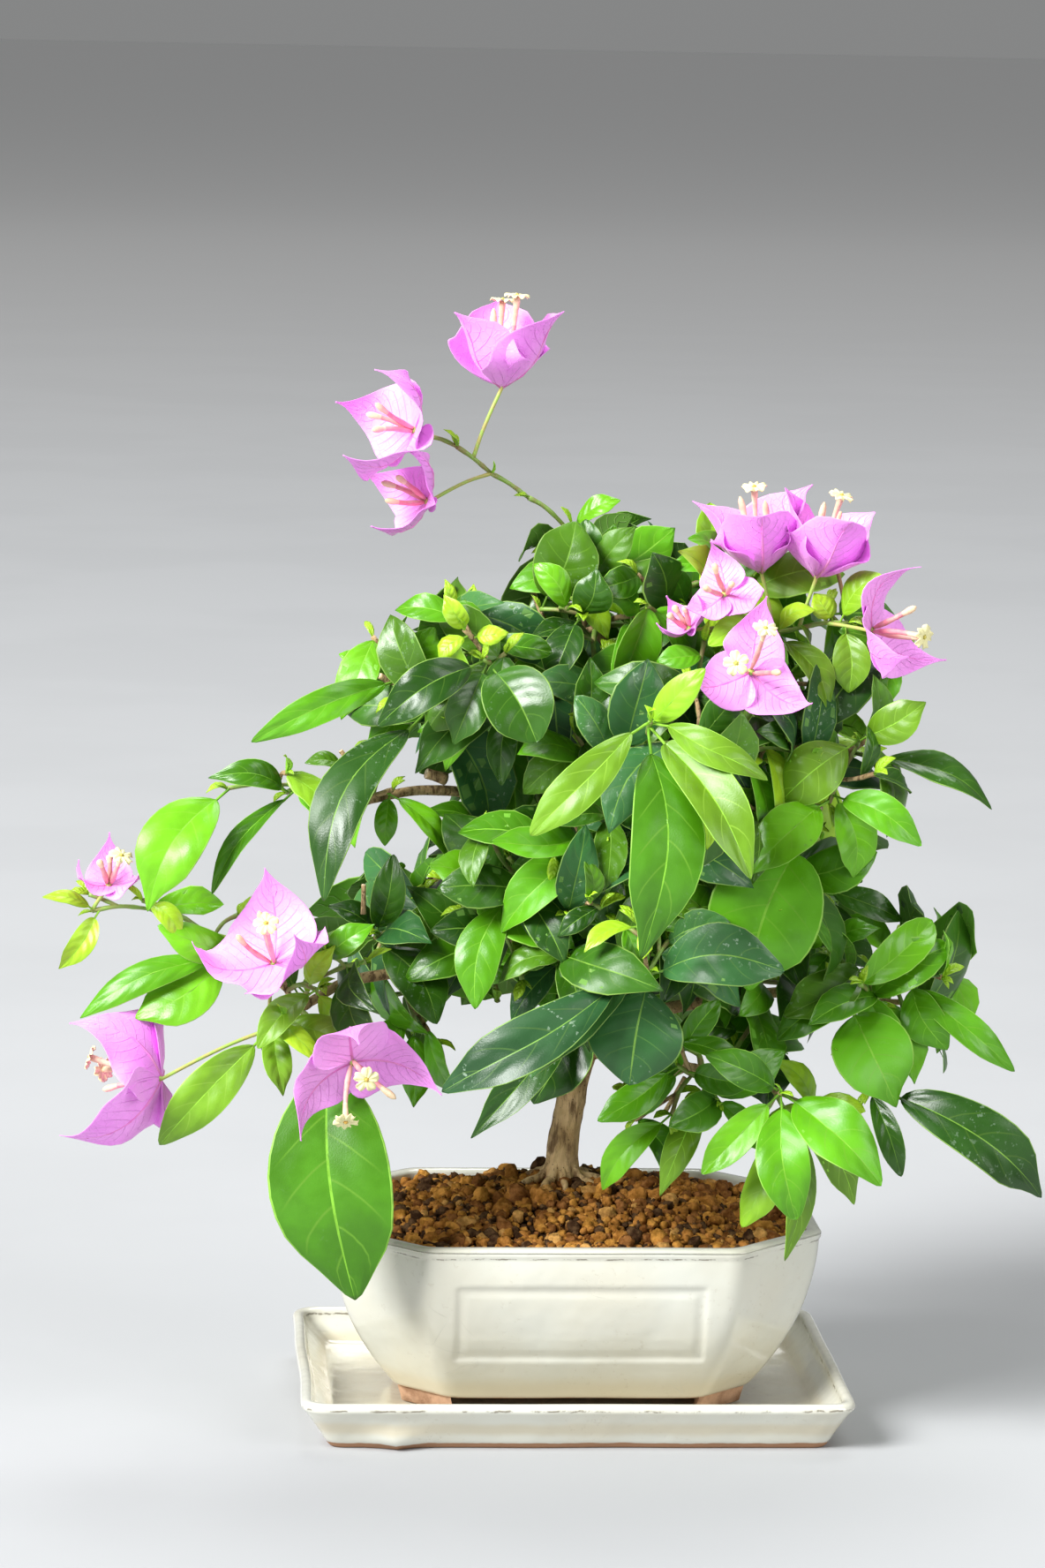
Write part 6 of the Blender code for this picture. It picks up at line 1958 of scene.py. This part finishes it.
def glaze_finish(name, settings, clay_band, wear_band, pooled_band):
    """A gloss glaze: hairlines, pinholes, thin places at its edges and bare clay low down."""
    glaze, pooled = tuple(settings.glaze), tuple(settings.pooled)
    look = Finish(name, glaze, GLAZE_ROUGHNESS, Coat_Roughness=0.08)
    tint = look.group("mottle", Scale=26.0, Low=0.3, High=0.75, Base=glaze, Second=mixed(glaze, pooled, 0.28))
    warm = look.group("level_band", Ragged=0.003, Scale=60.0, **pooled_band)
    body = look.mix(warm["Mask"], tint["Color"], mixed(glaze, pooled, 0.62))
    lines = look.group("hairlines", Scale=62.0, Width=0.006, Patches=0.62)
    body = look.mix(lines["Mask"], body, mixed(glaze, HAIRLINE_GREY, 0.25))
    body = look.mix(look.group("level_band", Scale=210.0, **wear_band)["Broken"], body, WORN_GREY)
    holes = look.group("specks", Scale=420.0, Amount=0.16)
    body = look.mix(holes["Mask"], body, PINHOLE_BROWN)
    bare = look.group("level_band", Soft=0.0004, Ragged=0.0016, Scale=90.0, **clay_band)["Mask"]
    look.colour(look.mix(bare, body, tuple(settings.clay)))
    look.rough(bare, GLAZE_ROUGHNESS, 0.8)
    look.between("Coat Weight", bare, 0.7, 0.0)
    ripple = look.group("grain", Scale=55.0, Detail=2.0)
    look.bump((ripple["Height"], 0.0009), (lines["Mask"], -0.0001), (holes["Mask"], -0.0002))
    return look.material


def clay_finish(name, settings):
    """Bare stoneware."""
    clay = tuple(settings.clay)
    patches = dict(Scale=140.0, Low=0.35, High=0.65,
                   Base=scaled(clay, 0.72), Second=mixed(clay, CLAY_PALE, 0.4))
    return mottled_finish(name, clay, (0.78, 0.92), patches, (1300.0, 3.0, 0.0003))


# ---------------------------------------------------------------- soil

GRAIN_TONES = (
    ((0.35, 0.140, 0.020), 30), ((0.20, 0.070, 0.012), 24), ((0.48, 0.215, 0.032), 20),
    ((0.050, 0.020, 0.007), 20), ((0.52, 0.27, 0.07), 6),
)
GRAIN_SHAPES = 9
LUMP_SHARE = 0.12
CRUMBS = 1900
GRAIN_ROW = 0.87
GRAIN_STRAY = 0.33
BED_SINK = 0.0012
TRUNK_CLEAR = 0.0078
EDGE_CLEAR = 0.03
# Each kind of grain: lift above the soil and size against a common one
CRUMB_LIFT, CRUMB_SIZE = 0.0008, 0.42
LUMP_LIFT, LUMP_SIZE = 0.0009, 1.55


def soil_edge():
    """The soil's outline at its edge."""
    return pot_line(SOIL_EDGE, POT_WALL + CLEARANCE)[:, :2]


def soil_heights(spots, edge):
    """The mound's height with its lumps at some places, and how far in from the edge each lies, 0 to 1."""
    middle = np.array(TRUNK_FOOT) * MM
    turns = np.arctan2(edge[:, 1] - middle[1], edge[:, 0] - middle[0])
    reaches = np.linalg.norm(edge - middle, axis=1)
    order = np.argsort(turns)
    out = spots - middle
    here = np.arctan2(out[:, 1], out[:, 0])
    reach = np.interp(here, turns[order], reaches[order], period=math.tau)
    away = np.linalg.norm(out, axis=1)
    share = (reach - away) / (reach - SOIL_STAND)
    level = np.clip(share, 0, 1)
    lumps = np.array([soil_lump(x, y) for x, y in spots]) - SOIL_LUMP / 2
    lumps *= np.clip(level / SOIL_FADE, 0, 1) * np.clip((1 - level) / SOIL_FADE, 0, 1)
    return SOIL_EDGE + (SOIL_PEAK - SOIL_EDGE) * np.sin(level * math.pi / 2) ** 2 + lumps, share


def soil_lump(x, y):
    """How far a coarse lump of the soil lifts a place."""
    return SOIL_LUMP * (0.5 + 0.9 * noise.noise(Vector((x, y, 0)) / SOIL_LUMP_SIZE))


def take_bed(sheaf):
    """The bed that the grains lie on: the soil below, made dark as painted shade in the gaps between grains.
    """
    edge = pot_line(SOIL_EDGE, POT_WALL * 0.8)
    middle = np.array((*TRUNK_FOOT, 0)) * MM
    rings = [edge * (1, 1, 0) + (0, 0, SOIL_EDGE - 0.009)]
    for share in np.linspace(0.0, 0.97, 15):
        ring = edge * (1, 1, 0) * (1 - share) + middle * share
        height, _ = soil_heights(ring[:, :2], soil_edge())
        ring[:, 2] = height - BED_SINK
        rings.append(ring)
    sheaf.loft(np.array(rings), sheaf.looks["bed"])


def grain_shapes(subdivisions, rng):
    """Lumpy stones of radius 1 to be dealt out."""
    shapes = []
    for index in range(GRAIN_SHAPES):
        build = bmesh.new()
        bmesh.ops.create_icosphere(build, subdivisions=subdivisions, radius=1.0)
        verts = []
        for vert in build.verts:
            spot = vert.co * 1.15 + Vector((index * 5.1, 2.0, 1.0))
            swell = 1 + 0.46 * noise.noise(spot) + 0.30 * noise.noise(spot * 2.9)
            verts.append(tuple(vert.co * swell))
        faces = [[vert.index for vert in face.verts] for face in build.faces]
        build.free()
        stretch = np.array((rng.uniform(0.85, 1.2), rng.uniform(0.75, 1.05), rng.uniform(0.7, 1.0)))
        shapes.append((np.array(verts) * stretch, np.array(faces)))
    return shapes


def take_grain(sheaf, shape, place, radius, rng, look):
    """One grain of soil, turned by chance."""
    verts, faces = shape
    axis = any_way(rng).normalized()
    turn = np.array(Matrix.Rotation(rng.uniform(0, math.tau), 3, axis))
    spots = verts @ turn.T * radius + place
    sheaf.take(spots, np.zeros((0, 4), int), np.zeros(0, int), faces, np.full(len(faces), look))


def grain_spots(reach, spacing, rng):
    """Places of the grains as (x, y, 1 for a crumb): rows side by side, then crumbs between."""
    rows = int(reach[1] * 2 / (spacing * GRAIN_ROW)) + 2
    columns = int(reach[0] * 2 / spacing) + 2
    spots = []
    for row in range(rows):
        for column in range(columns):
            x = -reach[0] + (column + 0.5 * (row % 2) + rng.uniform(-GRAIN_STRAY, GRAIN_STRAY)) * spacing
            y = -reach[1] + (row + rng.uniform(-GRAIN_STRAY, GRAIN_STRAY)) * spacing * GRAIN_ROW
            spots.append((x, y, 0))
    spots += [(rng.uniform(-reach[0], reach[0]), rng.uniform(-reach[1], reach[1]), 1) for _ in range(CRUMBS)]
    return np.array(spots)


def take_grains(sheaf, settings, half):
    """Half of the grains: common ones side by side, some large lumps, and crumbs between."""
    rng = random.Random(SEED + 9000)
    common, lumps, crumbs = grain_shapes(2, rng), grain_shapes(3, rng), grain_shapes(1, rng)
    edge = soil_edge()
    spots = grain_spots(np.abs(edge).max(axis=0), settings.spacing, rng)
    heights, shares = soil_heights(spots[:, :2], edge)
    weights = [weight for _, weight in GRAIN_TONES]
    foot = np.array(TRUNK_FOOT) * MM
    for (x, y, crumb), height, share in zip(spots, heights, shares):
        shape = rng.randrange(GRAIN_SHAPES)
        tone = rng.choices(range(len(weights)), weights)[0]
        lump = rng.random() < LUMP_SHARE
        size = settings.grain * rng.uniform(0.6, 1.3)
        place = np.array((x, y, height + rng.uniform(-0.0006, 0.0012)))
        if share < EDGE_CLEAR or math.hypot(x - foot[0], y - foot[1]) < TRUNK_CLEAR or (x > 0) != half:
            continue
        if crumb:
            take_grain(sheaf, crumbs[shape], place + (0, 0, CRUMB_LIFT), size * CRUMB_SIZE, rng, tone)
        elif lump:
            take_grain(sheaf, lumps[shape], place + (0, 0, LUMP_LIFT), size * LUMP_SIZE, rng, tone)
        else:
            take_grain(sheaf, common[shape], place, size, rng, tone)


def soil_finishes():
    """The bed, dark as painted shade between the grains, and five tones of grain."""
    tones = {"bed": SOIL_BED_BROWN_AND_SHADE}
    tones.update({f"grain_{index}": colour for index, (colour, _) in enumerate(GRAIN_TONES)})
    made = {}
    for name, colour in tones.items():
        patches = dict(Scale=330.0, Low=0.35, High=0.68, Base=scaled(colour, 0.62),
                       Second=mixed(scaled(colour, 1.25), SOIL_DUST, 0.12))
        made[name] = mottled_finish("soil_" + name, colour, (0.85, 0.97), patches, (1100.0, 4.0, 0.0006),
                                    Specular_IOR_Level=0.1)
    return made


# ---------------------------------------------------------------- stage

LENS = 121.62
CAMERA_PLACE = (-0.155221, -1.929631, 0.513759)
CAMERA_YAW, CAMERA_PITCH, CAMERA_ROLL = 3.99, 8.22, 1.102
FLOOR_HALF = 90
# Distances over which the floor turns paler: painted light where the lamps' light falls off
FLOOR_NEAR, FLOOR_FAR = 2.5, 11.0
SKY = (0.95, 0.96, 0.96, 1.0)
SKY_STRENGTH = 0.25


def place_camera():
    """The camera, at the fitted place."""
    yaw, pitch, roll = (math.radians(turn) for turn in (CAMERA_YAW, CAMERA_PITCH, CAMERA_ROLL))
    ahead = Vector((math.sin(yaw) * math.cos(pitch), math.cos(yaw) * math.cos(pitch), -math.sin(pitch)))
    level = Vector((math.cos(yaw), -math.sin(yaw), 0))
    up = level.cross(ahead)
    right = level * math.cos(roll) + up * math.sin(roll)
    top = up * math.cos(roll) - level * math.sin(roll)
    camera = bpy.data.objects.new("camera", bpy.data.cameras.new("camera"))
    bpy.context.scene.collection.objects.link(camera)
    camera.data.lens = LENS
    camera.data.dof.use_dof = False
    matrix = Matrix((right, top, -ahead)).transposed().to_4x4()
    matrix.translation = CAMERA_PLACE
    camera.matrix_world = matrix
    bpy.context.scene.camera = camera


def place_light(name, place, target, size, power):
    """A square soft light that looks at a point."""
    data = bpy.data.lights.new(name, "AREA")
    data.size = size
    data.energy = power
    light = bpy.data.objects.new(name, data)
    light.location = place
    light.rotation_mode = "QUATERNION"
    light.rotation_quaternion = (Vector(target) - Vector(place)).to_track_quat("-Z", "Y")
    bpy.context.scene.collection.objects.link(light)


# ---------------------------------------------------------------- operators

class BonsaiStep(bpy.types.Operator):
    """A step that builds pieces of the bonsai."""
    bl_options = {"REGISTER", "UNDO"}


class BONSAI_OT_stage(BonsaiStep):
    """Pale floor, soft lights and the camera"""
    bl_idname = "bonsai.stage"
    bl_label = "Stage"

    def execute(self, context):
        settings = context.scene.bonsai_stage
        mesh = bpy.data.meshes.new("floor")
        mesh.from_pydata([(x * FLOOR_HALF, y * FLOOR_HALF, 0) for x, y in CORNER_SIGNS], [], [(0, 1, 2, 3)])
        floor = bpy.data.objects.new("floor", mesh)
        context.scene.collection.objects.link(floor)
        colour = tuple(settings.floor)
        look = Finish("floor_paint", colour, 0.9, Specular_IOR_Level=0.2)
        tint = look.group("mottle", Scale=3.0, Base=colour, Second=scaled(colour, 0.97))
        # The floor is painted paler with distance: painted light in place of lamp light that falls off far
        # away
        away = look.group("far_fade", Near=FLOOR_NEAR, Far=FLOOR_FAR)
        look.colour(look.mix(away["Mask"], tint["Color"], tuple(settings.floor_far_painted_light)))
        mesh.materials.append(look.material)
        place_camera()
        place_light("key", (-4.4, -3.2, 4.0), (0, 0, 0.2), 2.8, settings.key)
        place_light("fill", (4.3, -3.4, 2.4), (0, 0, 0.2), 3.2, settings.fill)
        place_light("top", (0.8, 2.4, 5.2), (0, 0, 0.25), 2.8, settings.fill)
        world = bpy.data.worlds.new("studio")
        world.use_nodes = True
        world.node_tree.nodes["Background"].inputs["Color"].default_value = SKY
        world.node_tree.nodes["Background"].inputs["Strength"].default_value = SKY_STRENGTH
        context.scene.world = world
        context.scene.view_settings.view_transform = "Standard"
        return {"FINISHED"}


class BONSAI_OT_pot(BonsaiStep):
    """Glazed pot with framed panels and bare feet"""
    bl_idname = "bonsai.pot"
    bl_label = "Pot"

    def execute(self, context):
        settings = context.scene.bonsai_ceramic
        sheaf = Sheaf("glaze", "clay")
        take_pot(sheaf, settings)
        bare = {"Middle": POT_BASE, "Reach": 0.0006}
        worn = {"Middle": POT_TOP - LIP_DROP - 0.0005, "Reach": 0.0001, "Soft": 0.00035, "Ragged": 0.0012}
        pooled = {"Middle": POT_BASE + 0.001, "Reach": 0.004, "Soft": 0.007}
        finishes = {"glaze": glaze_finish("pot_glaze", settings, bare, worn, pooled),
                    "clay": clay_finish("pot_clay", settings)}
        sheaf.piece("pot_body", finishes, ("pot",))
        return {"FINISHED"}


class BONSAI_OT_tray(BonsaiStep):
    """Glazed drip tray"""
    bl_idname = "bonsai.tray"
    bl_label = "Tray"

    def execute(self, context):
        settings = context.scene.bonsai_ceramic
        sheaf = Sheaf("glaze", "clay")
        take_tray(sheaf)
        bare = {"Middle": 0.0, "Reach": 0.0021}
        worn = {"Middle": TRAY_HEIGHT - 0.0022, "Reach": 0.0001, "Soft": 0.0005, "Ragged": 0.0018}
        pooled = {"Middle": TRAY_FLOOR + 0.0018, "Reach": 0.0008, "Soft": 0.0030}
        finishes = {"glaze": glaze_finish("tray_glaze", settings, bare, worn, pooled),
                    "clay": clay_finish("tray_clay", settings)}
        sheaf.piece("tray_body", finishes, ("tray",))
        return {"FINISHED"}


class BONSAI_OT_soil(BonsaiStep):
    """Bed and loose grains of baked clay"""
    bl_idname = "bonsai.soil"
    bl_label = "Soil"

    def execute(self, context):
        settings = context.scene.bonsai_soil
        finishes = soil_finishes()
        bed = Sheaf("bed")
        take_bed(bed)
        bed.piece("soil_bed", finishes, ("soil",))
        for name, half in (("grains_right", True), ("grains_left", False)):
            sheaf = Sheaf(*(f"grain_{index}" for index in range(len(GRAIN_TONES))))
            take_grains(sheaf, settings, half)
            sheaf.piece(name, finishes, ("soil",))
        return {"FINISHED"}


class BONSAI_OT_wood(BonsaiStep):
    """Trunk, boughs, twigs and old cuts"""
    bl_idname = "bonsai.wood"
    bl_label = "Wood"

    def execute(self, context):
        settings = context.scene.bonsai_wood
        finishes = wood_finishes(settings)
        trunk = Sheaf("old")
        take_trunk(trunk, settings)
        trunk.piece("trunk_bark", finishes, ("trunk",))
        boughs = Sheaf("young")
        take_boughs(boughs, settings)
        boughs.piece("bough_bark", finishes, tuple("bough_" + name for name in BOUGHS))
        stubs = Sheaf("young", "cut")
        take_stubs(stubs, settings)
        stubs.piece("cut_stubs", finishes, ())
        grown = plant()
        for group, names in MASS_GROUPS.items():
            sheaf = Sheaf("young", "green")
            take_twigs(sheaf, grown, names)
            sheaf.piece("twigs_" + group, finishes, tuple("foliage_" + name for name in names))
        return {"FINISHED"}


class BONSAI_OT_leaves(BonsaiStep):
    """All the leaves"""
    bl_idname = "bonsai.leaves"
    bl_label = "Leaves"

    def execute(self, context):
        settings = context.scene.bonsai_leaves
        finishes = leaf_finishes(settings)
        grown = plant()
        for group, names in MASS_GROUPS.items():
            sheaf = Sheaf(*finishes)
            take_leaves(sheaf, grown, names, settings)
            sheaf.piece("leaves_" + group, finishes, tuple("foliage_" + name for name in names))
        return {"FINISHED"}


class BONSAI_OT_blossoms(BonsaiStep):
    """Bracts, stalks and tube flowers"""
    bl_idname = "bonsai.blossoms"
    bl_label = "Blossoms"

    def execute(self, context):
        settings = context.scene.bonsai_blossoms
        finishes = blossom_finishes(settings)
        grown = plant()
        for group, names in MASS_GROUPS.items():
            bearing = tuple(name for name in names if grown.blossoms[name])
            if bearing:
                sheaf = Sheaf(*finishes)
                take_blossoms(sheaf, grown, bearing, settings)
                carriers = tuple("foliage_" + name for name in bearing)
                sheaf.piece("blossoms_" + group, finishes, carriers)
        return {"FINISHED"}


class BONSAI_PT_panel(bpy.types.Panel):
    """Sidebar panel that lists the steps"""
    bl_label = "Bougainvillea bonsai"
    bl_idname = "BONSAI_PT_panel"
    bl_space_type = "VIEW_3D"
    bl_region_type = "UI"
    bl_category = "Bonsai"

    def draw(self, context):
        for step in STEPS:
            self.layout.operator(step.bl_idname)


SETTINGS = {
    "bonsai_leaves": LeafSettings, "bonsai_blossoms": BlossomSettings, "bonsai_wood": WoodSettings,
    "bonsai_ceramic": CeramicSettings, "bonsai_soil": SoilSettings, "bonsai_stage": StageSettings,
}
STEPS = (
    BONSAI_OT_tray, BONSAI_OT_pot, BONSAI_OT_soil, BONSAI_OT_wood, BONSAI_OT_leaves,
    BONSAI_OT_blossoms, BONSAI_OT_stage,
)


def register():
    """Register the settings, the steps and the panel."""
    for name, settings in SETTINGS.items():
        bpy.utils.register_class(settings)
        setattr(bpy.types.Scene, name, PointerProperty(type=settings))
    for step in STEPS:
        bpy.utils.register_class(step)
    bpy.utils.register_class(BONSAI_PT_panel)


def unregister():
    """Remove what register added."""
    bpy.utils.unregister_class(BONSAI_PT_panel)
    for step in reversed(STEPS):
        bpy.utils.unregister_class(step)
    for name, settings in SETTINGS.items():
        delattr(bpy.types.Scene, name)
        bpy.utils.unregister_class(settings)


def main():
    """Build everything in order."""
    register()
    for step in STEPS:
        group, name = step.bl_idname.split(".")
        getattr(getattr(bpy.ops, group), name)()


if __name__ == "__main__":
    main()
